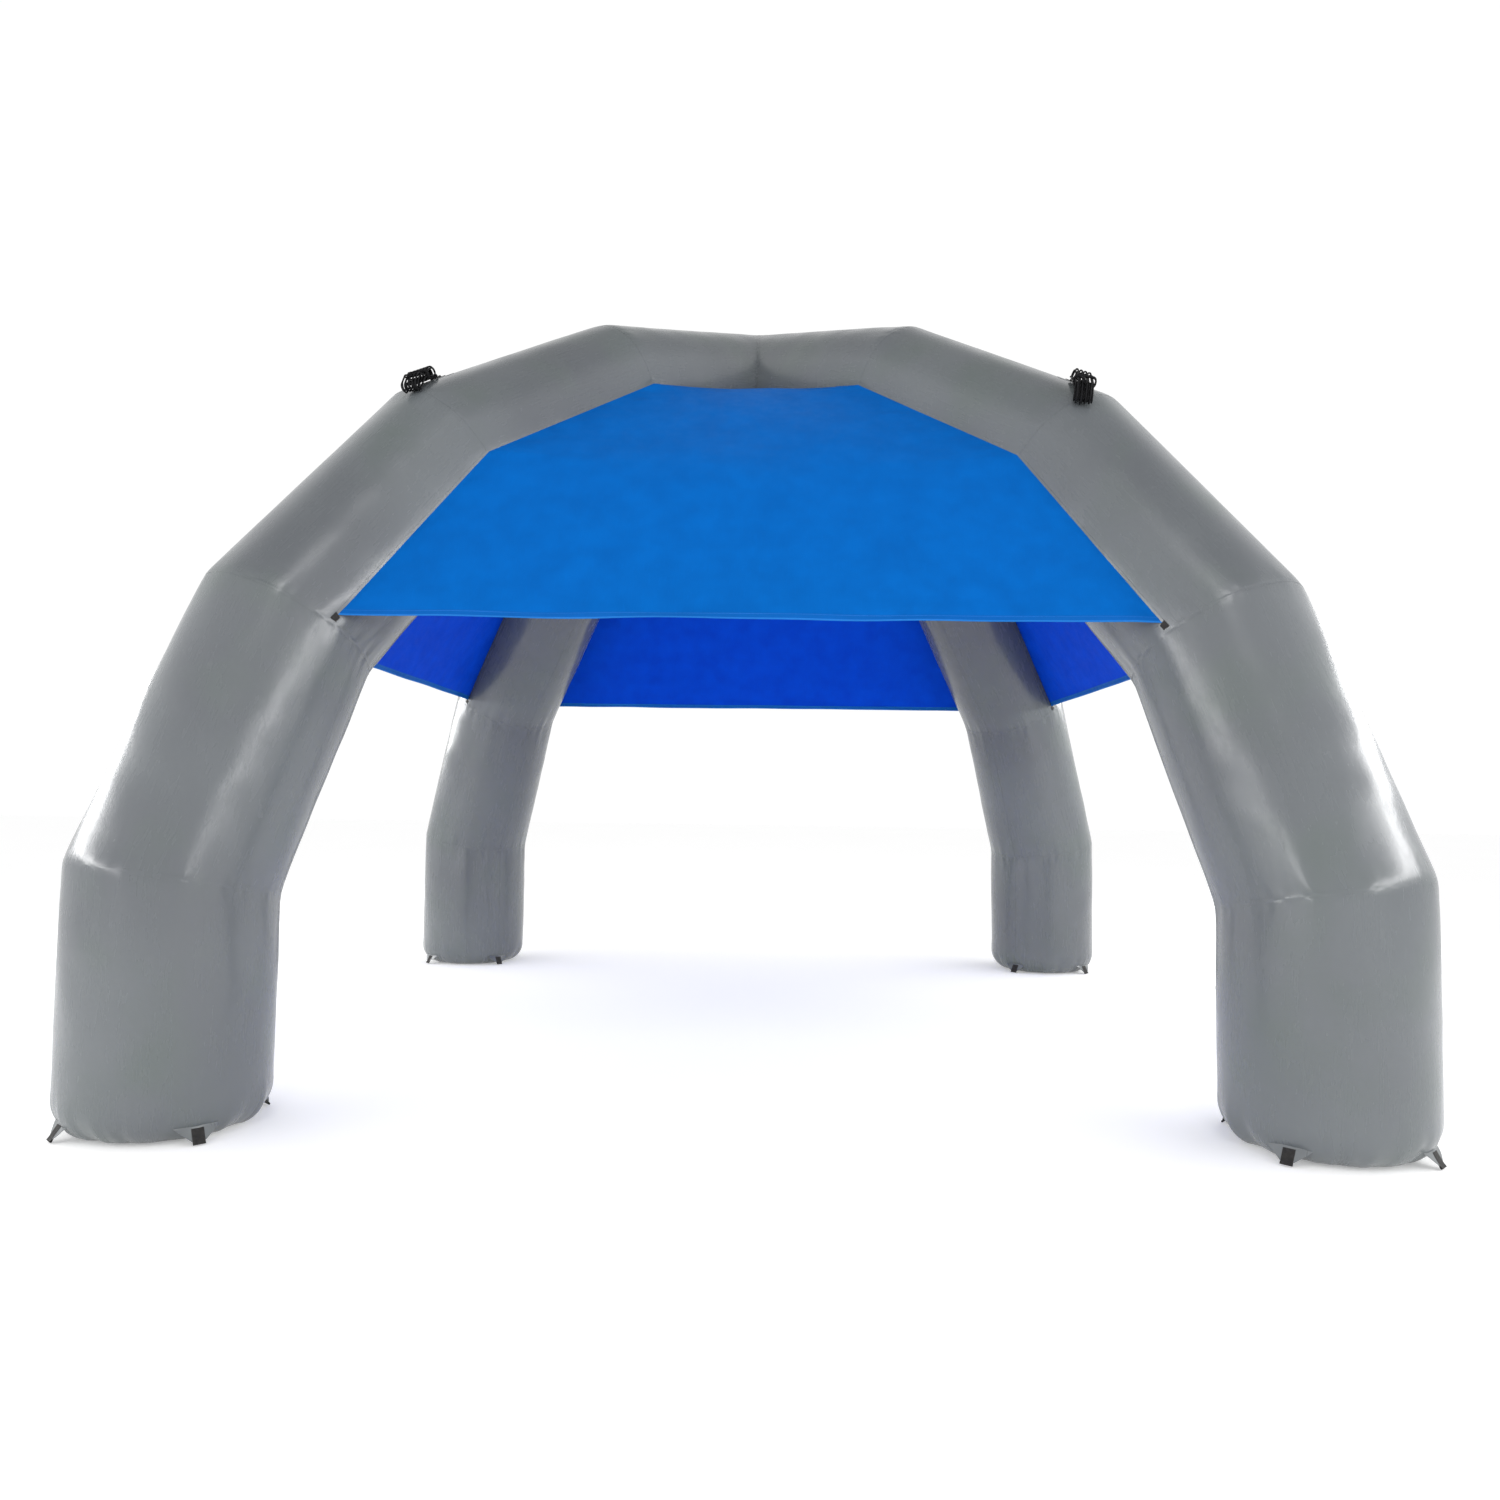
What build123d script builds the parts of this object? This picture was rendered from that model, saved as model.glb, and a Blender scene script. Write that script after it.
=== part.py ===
from build123d import *
import math
import os

# An inflatable four-legged event tent, in millimetres, +Z up.
# The origin is on the floor, midway between the four feet, and the front faces -Y.
# Two arches of airtight PVC tube cross at the crown. Each leg stands on a diagonal of the square
# plan and is made of five straight tubes joined at mitred, welded seams. A canopy panel is
# stretched between each two neighbouring legs, from the second bend up to the crown.
#
# A leg is modelled once, in a leg frame whose +X points outwards along the leg's own diagonal,
# and a canopy panel once, in a panel frame whose +X points out through the middle of that side.

# ---- Driving dimensions -------------------------------------------------------------------------
FOOT_TUBE_RADIUS = 440.0  # from the floor to the first bend
CROWN_TUBE_RADIUS = 380.0  # the tube narrows evenly from the first bend to the crown
FIRST_BEND_HEIGHT = 1090.0
TUBE_LENGTH = 1280.0  # each of the four tubes above the first bend, along its middle
RISE_ANGLES = (68.5, 50.7, 31.1, 12.6)  # slope of those four tubes above the horizontal, degrees
CROWN_SWELL = 35.0  # the four-way junction bulges: centre raised and section taller by this much
PVC = 0.9  # thickness of the airtight tube fabric
PATCH = 1.0  # thickness of welded patches and strips
WELD_GAP = 0.3  # film of adhesive between a patch and the tube

FOOT_CAP_HEIGHT = 175.0
FOOT_ROUNDING = 160.0

CANOPY = 0.8  # canopy cloth thickness
CANOPY_ANGLE = -5.0  # where the canopy meets the tube, degrees above the tube's side line
CROWN_CANOPY_ANGLE = -14.0  # the same at the crown, where the canopy hangs lower
CANOPY_SETBACK = 4.0  # cloth edge to the tube surface
FOLD_GAP = 0.2  # between two cloth widths, at the middle of their thickness
HEM_RISE = 50.0  # the hem's lower edge, above the second bend along the tube
HEM_WIDTH = 40.0
HEM_THICKNESS = 2.4
WELD_STRIP_WIDTH = 60.0
WEBBING_WIDTH = 50.0
WEBBING = 2.0

LEG_ANGLES = {"front_right": -45.0, "back_right": 45.0, "back_left": 135.0, "front_left": -135.0}
PANEL_ANGLES = {"front": -90.0, "right": 0.0, "back": 90.0, "left": 180.0}
VALVE_LEG = "front_right"
TUBE_NAMES = ("lower_tube", "knee_tube", "haunch_tube", "shoulder_tube", "crown_tube")


def write(name, shape):
    """Writes one node, as the solids it is made of."""
    export_step(Compound(children=list(shape.solids())), f"parts/{name}.step")


def turned(shape, angle):
    """The shape turned about the tent's vertical axis."""
    return Rot(0, 0, angle) * shape


# ---- The leg's skeleton -------------------------------------------------------------------------
def direction(rise):
    """Unit vector up the leg, towards the crown, at a slope in degrees."""
    return Vector(-math.cos(math.radians(rise)), 0, math.sin(math.radians(rise)))


LEG_REACH = TUBE_LENGTH * sum(math.cos(math.radians(a)) for a in RISE_ANGLES)
SLOPES = (90.0, *RISE_ANGLES)


class Station:
    """A seam's ellipse: its centre, the direction of its outer crest, and its two half widths."""

    def __init__(self, centre, normal, side, tall, stretch):
        self.centre = centre
        self.normal = normal
        self.up = Vector(0, 1, 0).cross(normal).normalized()
        self.side = side
        self.tall = tall
        self.stretch = stretch  # how much the mitre lengthens the section at the crest

    def point(self, angle, offset=0.0):
        """A point of the ellipse; 0 is the tube's +Y side line and 90 degrees its outer crest."""
        a = math.radians(angle)
        across = Vector(0, 1, 0) * (math.cos(a) * (self.side + offset))
        return self.centre + across + self.up * (math.sin(a) * (self.tall + offset * self.stretch))

    def wire(self, offset):
        plane = Plane(origin=self.centre, x_dir=self.up, z_dir=self.normal)
        return Wire.make_ellipse(self.tall + offset * self.stretch, self.side + offset, plane=plane)


def make_stations():
    """The seams from the top of the foot cap, 0, to the crown, 5."""
    narrowing = (FOOT_TUBE_RADIUS - CROWN_TUBE_RADIUS) / len(RISE_ANGLES)
    foot_top = Vector(LEG_REACH, 0, FOOT_CAP_HEIGHT)
    stations = [Station(foot_top, Vector(0, 0, 1), FOOT_TUBE_RADIUS, FOOT_TUBE_RADIUS, 1.0)]
    centre = Vector(LEG_REACH, 0, FIRST_BEND_HEIGHT)
    for k, rise in enumerate(RISE_ANGLES):
        half_bend = math.radians(SLOPES[k] - rise) / 2
        normal = (direction(SLOPES[k]) + direction(rise)).normalized()
        radius = FOOT_TUBE_RADIUS - narrowing * k
        stretch = 1 / math.cos(half_bend)
        stations.append(Station(centre, normal, radius, radius * stretch, stretch))
        centre = centre + direction(rise) * TUBE_LENGTH
    crown = centre + Vector(0, 0, CROWN_SWELL)
    stations.append(
        Station(crown, Vector(-1, 0, 0), CROWN_TUBE_RADIUS, CROWN_TUBE_RADIUS + CROWN_SWELL, 1.0)
    )
    return stations


STATIONS = make_stations()
CROWN = len(STATIONS) - 1


def quadrant():
    """The quarter of space that a leg owns, as a wedge about its diagonal."""
    reach = 3 * LEG_REACH
    outline = Polyline((0, 0), (reach, -reach), (reach, reach), (0, 0))
    return extrude(make_face(outline), 2 * reach)


def tube_core(k, offset=0.0):
    """The space inside tube k, between seams k and k + 1, grown outwards by offset."""
    core = Solid.make_loft([STATIONS[k].wire(offset), STATIONS[k + 1].wire(offset)], ruled=True)
    return core & quadrant() if k + 1 == CROWN else core


def skin(k, cutter, thickness=PATCH):
    """A layer of fabric lying on tube k, where the cutter reaches it."""
    return (tube_core(k, WELD_GAP + thickness) & cutter) - tube_core(k, WELD_GAP)


def surface_plane(k, distance, angle):
    """A plane on tube k: x up the leg, y across it, z straight out of the fabric."""
    low, high = STATIONS[k], STATIONS[k + 1]
    start, end = low.point(angle), high.point(angle)
    share = distance / (end - start).length
    step = 0.5
    along = (end - start).normalized()
    low_step = low.point(angle + step) - low.point(angle - step)
    high_step = high.point(angle + step) - high.point(angle - step)
    around = low_step * (1 - share) + high_step * share
    out = along.cross(around).normalized()
    if out.dot(start - low.centre) < 0:
        out = out * -1
    return Plane(origin=start + (end - start) * share, x_dir=along, z_dir=out)


# ---- Inflated tubes and feet --------------------------------------------------------------------
def make_tube(k):
    return tube_core(k) - tube_core(k, -PVC)


def make_foot_cap():
    """The rounded bottom: a flat disc on the floor, a quarter-round edge and a short wall."""

    def outline(inset):
        rim, radius = FOOT_ROUNDING - inset, FOOT_TUBE_RADIUS - inset
        corner = radius - rim
        middle = (corner + rim * math.sqrt(0.5), inset + rim * (1 - math.sqrt(0.5)))
        return (corner, inset), middle, (radius, inset + rim), (radius, FOOT_CAP_HEIGHT)

    low, mid, high, top = outline(0.0)
    in_low, in_mid, in_high, in_top = outline(PVC)
    edges = [
        Line((0, 0), low),
        ThreePointArc(low, mid, high),
        Line(high, top),
        Line(top, in_top),
        Line(in_top, in_high),
        ThreePointArc(in_high, in_mid, in_low),
        Line(in_low, (0, PVC)),
        Line((0, PVC), (0, 0)),
    ]
    profile = Plane.XZ * make_face(edges)
    return Pos(LEG_REACH, 0, 0) * revolve(profile, Axis.Z)


# ---- Anchor tabs round each foot ----------------------------------------------------------------
TAB_ROOT_HEIGHT = 72.0  # the tab is welded to the foot's rounded edge
TAB_LENGTH = 58.0
TAB_SLOPE = 66.0  # the tab hangs this many degrees below the horizontal
TAB_ROOT_WIDTH = 180.0
TAB_TIP_WIDTH = 58.0
TAB_THICKNESS = 1.5
TAB_CLEARANCE = 1.2  # from the foot
LOOP_REACH = 16.0  # the webbing passes the tab's tip by this much
LOOP_START = 5.0
LOOP_BACK = 22.0
LOOP_GAP = 0.1


def foot_radius(height):
    """The radius of the foot's rounded edge at a height above the floor."""
    below = FOOT_ROUNDING - height
    return FOOT_TUBE_RADIUS - FOOT_ROUNDING + math.sqrt(FOOT_ROUNDING**2 - below**2)


def at_foot(shape, azimuth):
    """Puts a shape from the tab's plane onto the foot's rounded edge, x running down the tab."""
    place = Pos(foot_radius(TAB_ROOT_HEIGHT) + TAB_CLEARANCE, 0, TAB_ROOT_HEIGHT) * Rot(0, TAB_SLOPE, 0)
    return Pos(LEG_REACH, 0, 0) * Rot(0, 0, azimuth) * place * shape


def make_anchor_tab():
    root, tip = TAB_ROOT_WIDTH / 2, TAB_TIP_WIDTH / 2
    outline = Polyline((0, -root), (TAB_LENGTH, -tip), (TAB_LENGTH, tip), (0, root), (0, -root))
    sheet = extrude(make_face(outline), TAB_THICKNESS)
    return Pos(0, 0, -TAB_THICKNESS / 2) * sheet


def make_anchor_webbing():
    """A strip folded round the tab's tip: its front leg is longer than its back leg."""
    slot = TAB_THICKNESS / 2 + LOOP_GAP
    face = slot + WEBBING
    end = TAB_LENGTH + LOOP_REACH
    edges = [
        Line((LOOP_START, face), (end - face, face)),
        ThreePointArc((end - face, face), (end, 0), (end - face, -face)),
        Line((end - face, -face), (LOOP_BACK, -face)),
        Line((LOOP_BACK, -face), (LOOP_BACK, -slot)),
        Line((LOOP_BACK, -slot), (end - face, -slot)),
        ThreePointArc((end - face, -slot), (end - WEBBING, 0), (end - face, slot)),
        Line((end - face, slot), (LOOP_START, slot)),
        Line((LOOP_START, slot), (LOOP_START, face)),
    ]
    return extrude(Plane.XZ * make_face(edges), WEBBING_WIDTH / 2, both=True)


# ---- Guy points near the third bend -------------------------------------------------------------
GUY_TUBE = 3  # the shoulder tube, between the third and fourth bends
GUY_DISTANCE = 256.0  # from the third bend, along the crest
GUY_PATCH_RADIUS = 85.0
RING_WIRE = 3.0
RING_HALF_WIDTH = 27.0
RING_CORNER = 5.0
RING_STRAIGHT = 14.0  # from the ring's bar to where its bow begins
RING_LIFT = 6.8  # height of the ring's bar above the tube's crest
KEEPER_BORE = 3.4
KEEPER_LENGTH = 42.0
HANK_WIDTH = 112.0
HANK_HEIGHT = 68.0
HANK_CORNER = 22.0
# The middle line of each bundled guy rope, in the leg frame, from the ring down the tube's slope.
SHORT_HANK = (
    (2448, 0, 3730),
    (2503, 39, 3697),
    (2559, 94, 3657),
    (2612, 148, 3614),
    (2657, 198, 3532),
)
LONG_HANK = (
    (2448, -8, 3730),
    (2500, -70, 3694),
    (2556, -154, 3638),
    (2597, -228, 3581),
    (2626, -296, 3467),
)
HANKS = {
    "front_left": SHORT_HANK,
    "front_right": LONG_HANK,
    "back_right": SHORT_HANK,
    "back_left": LONG_HANK,
}


def guy_frame():
    return surface_plane(GUY_TUBE, GUY_DISTANCE, 90.0)


def make_guy_patch():
    return skin(GUY_TUBE, guy_frame() * Cylinder(GUY_PATCH_RADIUS, FOOT_TUBE_RADIUS / 2))


def make_guy_keeper():
    """The stitched webbing that holds the ring's bar: a flat foot with a rolled eye on it."""
    base = WELD_GAP + PATCH + 0.1
    eye = KEEPER_BORE + WEBBING
    foot = 28.0
    outline = Pos(0, RING_LIFT) * Circle(eye)
    outline += Pos((eye + foot) / 2, base + WEBBING / 2) * Rectangle(eye + foot, WEBBING)
    outline += Pos(0, (base + RING_LIFT) / 2) * Rectangle(2 * eye, RING_LIFT - base)
    outline -= Pos(0, RING_LIFT) * Circle(KEEPER_BORE)
    above = 4 * eye
    outline &= Pos(0, base + above) * Rectangle(4 * foot, 2 * above)
    return guy_frame() * extrude(Plane.XZ * outline, KEEPER_LENGTH / 2, both=True)


def make_guy_ring():
    """A welded D-ring of round wire: its bar is in the keeper and its bow points down the leg."""
    w, s, c = RING_HALF_WIDTH, RING_STRAIGHT, RING_CORNER
    bend = c * (1 - math.sqrt(0.5))
    edges = [
        Edge.make_line((0, 0, 0), (0, w - c, 0)),
        Edge.make_three_point_arc((0, w - c, 0), (-bend, w - bend, 0), (-c, w, 0)),
        Edge.make_line((-c, w, 0), (-s, w, 0)),
        Edge.make_three_point_arc((-s, w, 0), (-s - w, 0, 0), (-s, -w, 0)),
        Edge.make_line((-s, -w, 0), (-c, -w, 0)),
        Edge.make_three_point_arc((-c, -w, 0), (-bend, -w + bend, 0), (0, -w + c, 0)),
        Edge.make_line((0, -w + c, 0), (0, 0, 0)),
    ]
    ring = sweep(Plane.XZ * Circle(RING_WIRE), path=Wire(edges))
    return guy_frame() * (Pos(0, 0, RING_LIFT) * ring)


def away_from_tube(point):
    """Unit vector out of the leg, square to the nearer of the two tubes at the third bend."""
    bend = STATIONS[GUY_TUBE].centre
    feet = []
    for far in (STATIONS[GUY_TUBE - 1].centre, STATIONS[GUY_TUBE + 1].centre):
        along = (far - bend).normalized()
        feet.append(bend + along * max((point - bend).dot(along), 0.0))
    nearest = min(feet, key=lambda foot: (point - foot).length)
    return (point - nearest).normalized()


def make_hank(points):
    """The outer shape of a bundled rope, draped over the tube."""
    points = [Vector(*p) for p in points]
    sections = []
    for i, point in enumerate(points):
        along = (points[min(i + 1, len(points) - 1)] - points[max(i - 1, 0)]).normalized()
        side = along.cross(away_from_tube(point)).normalized()
        plane = Plane(origin=point, x_dir=side, z_dir=along)
        outline = plane * RectangleRounded(HANK_WIDTH, HANK_HEIGHT, HANK_CORNER)
        sections.append(outline.face().outer_wire())
    return Solid.make_loft(sections, ruled=True)


# ---- Canopy -------------------------------------------------------------------------------------
def side_point(k, side):
    """Where the canopy's line crosses seam k, on the tube's +Y or -Y side, in the leg frame."""
    angle = CROWN_CANOPY_ANGLE if k == CROWN else CANOPY_ANGLE
    return STATIONS[k].point(angle if side > 0 else 180.0 - angle)


def panel_corner(k):
    """The same point on the leg at -45 degrees, in the panel frame; its twin is at -y."""
    return side_point(k, 1).rotate(Axis.Z, -45.0)


def trapezoid(low, high, start, end, thickness, setback):
    """A flat sheet between two mirrored slanting lines, from start to end mm above the low line."""
    rise = Vector(high.X - low.X, 0, high.Z - low.Z)
    height = rise.length
    square = Vector(0, 1, 0).cross(rise).normalized()
    plane = Plane(origin=(low.X, 0, low.Z), x_dir=(0, 1, 0), z_dir=square)

    def half_width(at):
        return max(abs(low.Y) + (abs(high.Y) - abs(low.Y)) * at / height - setback, 1.0)

    a, b = half_width(start), half_width(end)
    sign = 1 if plane.y_dir.dot(rise) > 0 else -1
    outline = Polyline(
        (-a, sign * start), (a, sign * start), (b, sign * end), (-b, sign * end), (-a, sign * start)
    )
    return plane * extrude(make_face(outline), thickness / 2, both=True)


def facet_height(low, high):
    return math.hypot(high.X - low.X, high.Z - low.Z)


def crown_apex():
    """Where the canopy lines of two neighbouring legs meet, in the panel frame."""
    low, high = panel_corner(CROWN - 1), panel_corner(CROWN)
    share = abs(low.Y) / (abs(low.Y) + abs(high.Y))
    return low + (high - low) * share


def canopy_lines():
    return [panel_corner(k) for k in range(2, CROWN)] + [crown_apex()]


def hem_edge():
    """The hem's lower edge, in mm up the lowest facet from the second bend."""
    low, high = canopy_lines()[:2]
    return HEM_RISE * facet_height(low, high) / (high - low).length


def make_canopy_panel():
    """Three welded widths of cloth: each is flat between two bends of the legs."""
    lines = canopy_lines()
    cloths = []
    for k, (low, high) in enumerate(zip(lines, lines[1:])):
        start = hem_edge() + HEM_WIDTH if k == 0 else FOLD_GAP
        last = k == len(lines) - 2
        end = facet_height(low, high) - (3 * CANOPY_SETBACK if last else FOLD_GAP)
        cloths.append(trapezoid(low, high, start, end, CANOPY, CANOPY_SETBACK))
    return Compound(children=cloths)


def make_hem():
    low, high = canopy_lines()[:2]
    return trapezoid(low, high, hem_edge(), hem_edge() + HEM_WIDTH, HEM_THICKNESS, CANOPY_SETBACK + 1)


def make_weld_strips(side):
    """Strips on one side line of a leg, from the hem to the crown, that the canopy is welded to."""
    strips = []
    for k in range(2, CROWN):
        low, high = side_point(k, side), side_point(k + 1, side)
        along = (high - low).normalized()
        out = Vector(0, side, 0)
        plane = Plane(origin=(low + high) / 2, x_dir=along, z_dir=out)
        length = 2 * TUBE_LENGTH
        cutter = plane * Box(length, WELD_STRIP_WIDTH, 2 * WELD_STRIP_WIDTH)
        if k == 2:
            cutter -= Plane(origin=low + along * HEM_RISE, x_dir=out, z_dir=along) * Box(
                length, length, length, align=(Align.CENTER, Align.CENTER, Align.MAX)
            )
        strips += list(skin(k, cutter).solids())
    return strips


def make_corner_tab(side):
    """A webbing tab at the hem's end, wrapped on the tube."""
    size = 32.0
    low, high = side_point(2, side), side_point(3, side)
    along = (high - low).normalized()
    middle = low + along * (HEM_RISE - size / 2 - 2)
    plane = Plane(origin=middle, x_dir=along, z_dir=Vector(0, side, 0))
    return skin(2, plane * Box(size, WEBBING_WIDTH, 2 * WEBBING_WIDTH), WEBBING)


# ---- Valves, on the inner face of one leg's lower tube ------------------------------------------
INFLATION_HEIGHT = 620.0
RELIEF_HEIGHT = 860.0
VALVE_PATCH_RADIUS = 75.0
NECK_RADIUS = 21.0
NECK_BORE = 16.0
FLANGE_RADIUS = 36.0
FLANGE_THICKNESS = 4.0
NECK_TOP = 26.0
NECK_BOTTOM = -14.0
SEAT_RADIUS = 11.0
SEAT_THICKNESS = 4.0
STEM_RADIUS = 3.0
STEM_CLEARANCE = 0.3
POPPET_RADIUS = 14.0
POPPET_THICKNESS = 2.4
HEAD_RADIUS = 7.5
HOLE_CLEARANCE = 0.3
NUT_RADIUS = 31.0
NUT_THICKNESS = 6.0
NUT_TOP = -2.6
CAP_RADIUS = 25.0
CAP_BOTTOM = 8.0
CAP_TOP = 31.0
CAP_TOP_THICKNESS = 3.0
GRIP_COUNT = 16
PRESS_TRAVEL = 6.0
RELIEF_TRAVEL = 4.0
VALVE_BASE = WELD_GAP + PATCH + 0.1  # the flange stands on the patch


def valve_frame(height):
    """z points out of the tube towards the middle of the tent, and 0 is the tube's surface."""
    return Plane(origin=(LEG_REACH - FOOT_TUBE_RADIUS, 0, height), x_dir=(0, 0, 1), z_dir=(-1, 0, 0))


def disc(radius, low, high):
    return Pos(0, 0, (low + high) / 2) * Cylinder(radius, high - low)


def tube_of(outer, inner, low, high):
    return disc(outer, low, high) - disc(inner, low - 1, high + 1)


def make_valve_patch(height):
    """A round patch that reinforces the tube round a valve."""
    hole = valve_frame(height) * Cylinder(NECK_RADIUS + HOLE_CLEARANCE, 4 * FLANGE_RADIUS)
    disc_cutter = valve_frame(height) * Cylinder(VALVE_PATCH_RADIUS, 4 * FLANGE_RADIUS)
    return skin(0, disc_cutter - hole)


def guide_web(low, high, arms=3):
    """A ring seat with a hub on arms, which guides the valve's stem."""
    web = tube_of(NECK_BORE + 0.5, SEAT_RADIUS, low, high)
    web += tube_of(STEM_RADIUS + 2.5, STEM_RADIUS + STEM_CLEARANCE, low, high)
    for i in range(arms):
        reach = SEAT_RADIUS - STEM_RADIUS - 1.0
        arm = Pos(STEM_RADIUS + 1.5 + reach / 2, 0, (low + high) / 2) * Box(reach, 2.4, high - low)
        web += Rot(0, 0, 360 / arms * i) * arm
    return web


def make_inflation_body():
    body = tube_of(NECK_RADIUS, NECK_BORE, NECK_BOTTOM, NECK_TOP)
    body += tube_of(FLANGE_RADIUS, NECK_BORE, VALVE_BASE, VALVE_BASE + FLANGE_THICKNESS)
    seat_top = NECK_BOTTOM + POPPET_THICKNESS + SEAT_THICKNESS + PRESS_TRAVEL
    return body + guide_web(seat_top - SEAT_THICKNESS, seat_top)


def poppet_level():
    """The top of the closed inflation poppet, just under its seat."""
    return NECK_BOTTOM + POPPET_THICKNESS + PRESS_TRAVEL - 0.2


def make_inflation_poppet():
    top = poppet_level()
    head = 14.0
    poppet = disc(POPPET_RADIUS, top - POPPET_THICKNESS, top) + disc(STEM_RADIUS, top - 1, head)
    return poppet + disc(HEAD_RADIUS, head - 1, head + 3)


def make_spring(low, high, radius, wire, turns):
    """An open compression spring of round wire."""
    height = high - low - 2 * wire
    coil = Edge.make_helix(pitch=height / turns, height=height, radius=radius)
    section = Plane(origin=coil @ 0, z_dir=coil % 0) * Circle(wire / 2)
    return Pos(0, 0, low + wire) * sweep(section, path=coil, is_frenet=True)


def make_inflation_spring():
    seat_top = NECK_BOTTOM + POPPET_THICKNESS + SEAT_THICKNESS + PRESS_TRAVEL
    return make_spring(seat_top, 13.0, 6.2, 1.0, 4)


def make_inflation_cap():
    """A bayonet cap with grip ribs and a central pin for its leash."""
    cap = disc(CAP_RADIUS, CAP_BOTTOM, CAP_TOP)
    cap -= disc(NECK_RADIUS + 0.5, CAP_BOTTOM - 1, CAP_TOP - CAP_TOP_THICKNESS)
    for i in range(GRIP_COUNT):
        rib = Pos(CAP_RADIUS, 0, (CAP_BOTTOM + CAP_TOP) / 2) * Box(2.4, 2.6, CAP_TOP - CAP_BOTTOM - 4)
        cap += Rot(0, 0, 360 / GRIP_COUNT * i) * rib
    cap += disc(2.5, CAP_TOP - 1, CAP_TOP + 4)
    return cap + disc(4.5, CAP_TOP + 3, CAP_TOP + 5)


def make_cap_leash():
    """A flexible strap from a ring on the valve's neck round to an eye on the cap's pin."""
    strap = 1.4
    width = 7.0
    far = CAP_RADIUS + 8.0
    low = VALVE_BASE + FLANGE_THICKNESS + 0.2
    high = CAP_TOP + 0.5
    leash = tube_of(NECK_RADIUS + 4, NECK_RADIUS + 0.2, low, low + strap)
    leash += tube_of(6.0, 2.8, high, high + strap)
    for near, level in ((NECK_RADIUS + 2, low), (5.0, high)):
        leash += Pos((near + far) / 2, 0, level + strap / 2) * Box(far - near, width, strap)
    post = high + strap - low
    return leash + Pos(far - strap / 2, 0, low + post / 2) * Box(strap, width, post)


def make_backing_nut():
    """The threaded ring inside the tube that clamps a valve body to the fabric."""
    return tube_of(NUT_RADIUS, NECK_RADIUS + 0.1, NUT_TOP - NUT_THICKNESS, NUT_TOP)


RELIEF_NECK_TOP = 16.0
RELIEF_SEAT_TOP = -4.0
RELIEF_COVER_TOP = 22.0


def make_relief_body():
    body = tube_of(NECK_RADIUS, NECK_BORE, NECK_BOTTOM, RELIEF_NECK_TOP)
    body += tube_of(FLANGE_RADIUS, NECK_BORE, VALVE_BASE, VALVE_BASE + FLANGE_THICKNESS)
    return body + guide_web(RELIEF_SEAT_TOP - SEAT_THICKNESS, RELIEF_SEAT_TOP)


def make_relief_poppet():
    low = RELIEF_SEAT_TOP + 0.2
    poppet = disc(POPPET_RADIUS, low, low + POPPET_THICKNESS)
    poppet += disc(STEM_RADIUS, NECK_BOTTOM, low + 1)
    return poppet + disc(HEAD_RADIUS - 3, low + 1, low + POPPET_THICKNESS + 4)


def make_relief_spring():
    low = RELIEF_SEAT_TOP + POPPET_THICKNESS + 0.3
    return make_spring(low, RELIEF_COVER_TOP - 3.2, 8.0, 1.2, 4)


def make_relief_cover():
    """A vented cover that caps the relief valve and holds its spring."""
    low = VALVE_BASE + FLANGE_THICKNESS + 1.0
    cover = disc(CAP_RADIUS, low, RELIEF_COVER_TOP)
    cover -= disc(NECK_RADIUS + 0.2, low - 1, RELIEF_COVER_TOP - 3)
    vents = 8
    for i in range(vents):
        cover -= Rot(0, 0, 360 / vents * i) * Pos(13.5, 0, RELIEF_COVER_TOP - 1.5) * Cylinder(2.2, 6)
    return cover


# ---- Writing the nodes --------------------------------------------------------------------------
def write_tubes():
    tubes = [make_tube(k) for k in range(CROWN)]
    foot_cap = make_foot_cap()
    for leg, angle in LEG_ANGLES.items():
        write(f"{leg}_foot_cap", turned(foot_cap, angle))
        for k, name in enumerate(TUBE_NAMES):
            tube = tubes[k]
            if leg == VALVE_LEG and k == 0:
                for height in (INFLATION_HEIGHT, RELIEF_HEIGHT):
                    tube = tube - valve_frame(height) * Cylinder(NECK_RADIUS + HOLE_CLEARANCE, 100)
            write(f"{leg}_{name}", turned(tube, angle))


def write_group(name, places):
    """Writes one node of separate pieces, from pairs of a shape and its angle about the middle."""
    write(name, Compound(children=[turned(shape, angle) for shape, angle in places]))


def write_canopy():
    panel, hem = make_canopy_panel(), make_hem()
    near, far = make_weld_strips(1), make_weld_strips(-1)
    tabs = (make_corner_tab(1), make_corner_tab(-1))
    for name, angle in PANEL_ANGLES.items():
        write(f"{name}_canopy_panel", turned(panel, angle))
        strips = [(strip, angle - 45) for strip in near] + [(strip, angle + 45) for strip in far]
        write_group(f"{name}_canopy_weld_strips", strips)
    write_group("canopy_hems", [(hem, angle) for angle in PANEL_ANGLES.values()])
    write_group("canopy_corner_tabs", [(tab, angle) for angle in LEG_ANGLES.values() for tab in tabs])


def write_anchors():
    for name, shape in (
        ("anchor_tabs", make_anchor_tab()),
        ("anchor_webbing_loops", make_anchor_webbing()),
    ):
        round_foot = [at_foot(shape, azimuth) for azimuth in (0, 90, 180, 270)]
        write_group(name, [(piece, angle) for angle in LEG_ANGLES.values() for piece in round_foot])


def write_guy_points():
    patch, keeper, ring = make_guy_patch(), make_guy_keeper(), make_guy_ring()
    write_group("guy_patches", [(patch, angle) for angle in LEG_ANGLES.values()])
    write_group("guy_ring_keepers", [(keeper, angle) for angle in LEG_ANGLES.values()])
    for leg, angle in LEG_ANGLES.items():
        write(f"{leg}_guy_ring", turned(ring, angle))
        write(f"{leg}_guy_rope_hank", turned(make_hank(HANKS[leg]), angle))


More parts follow.
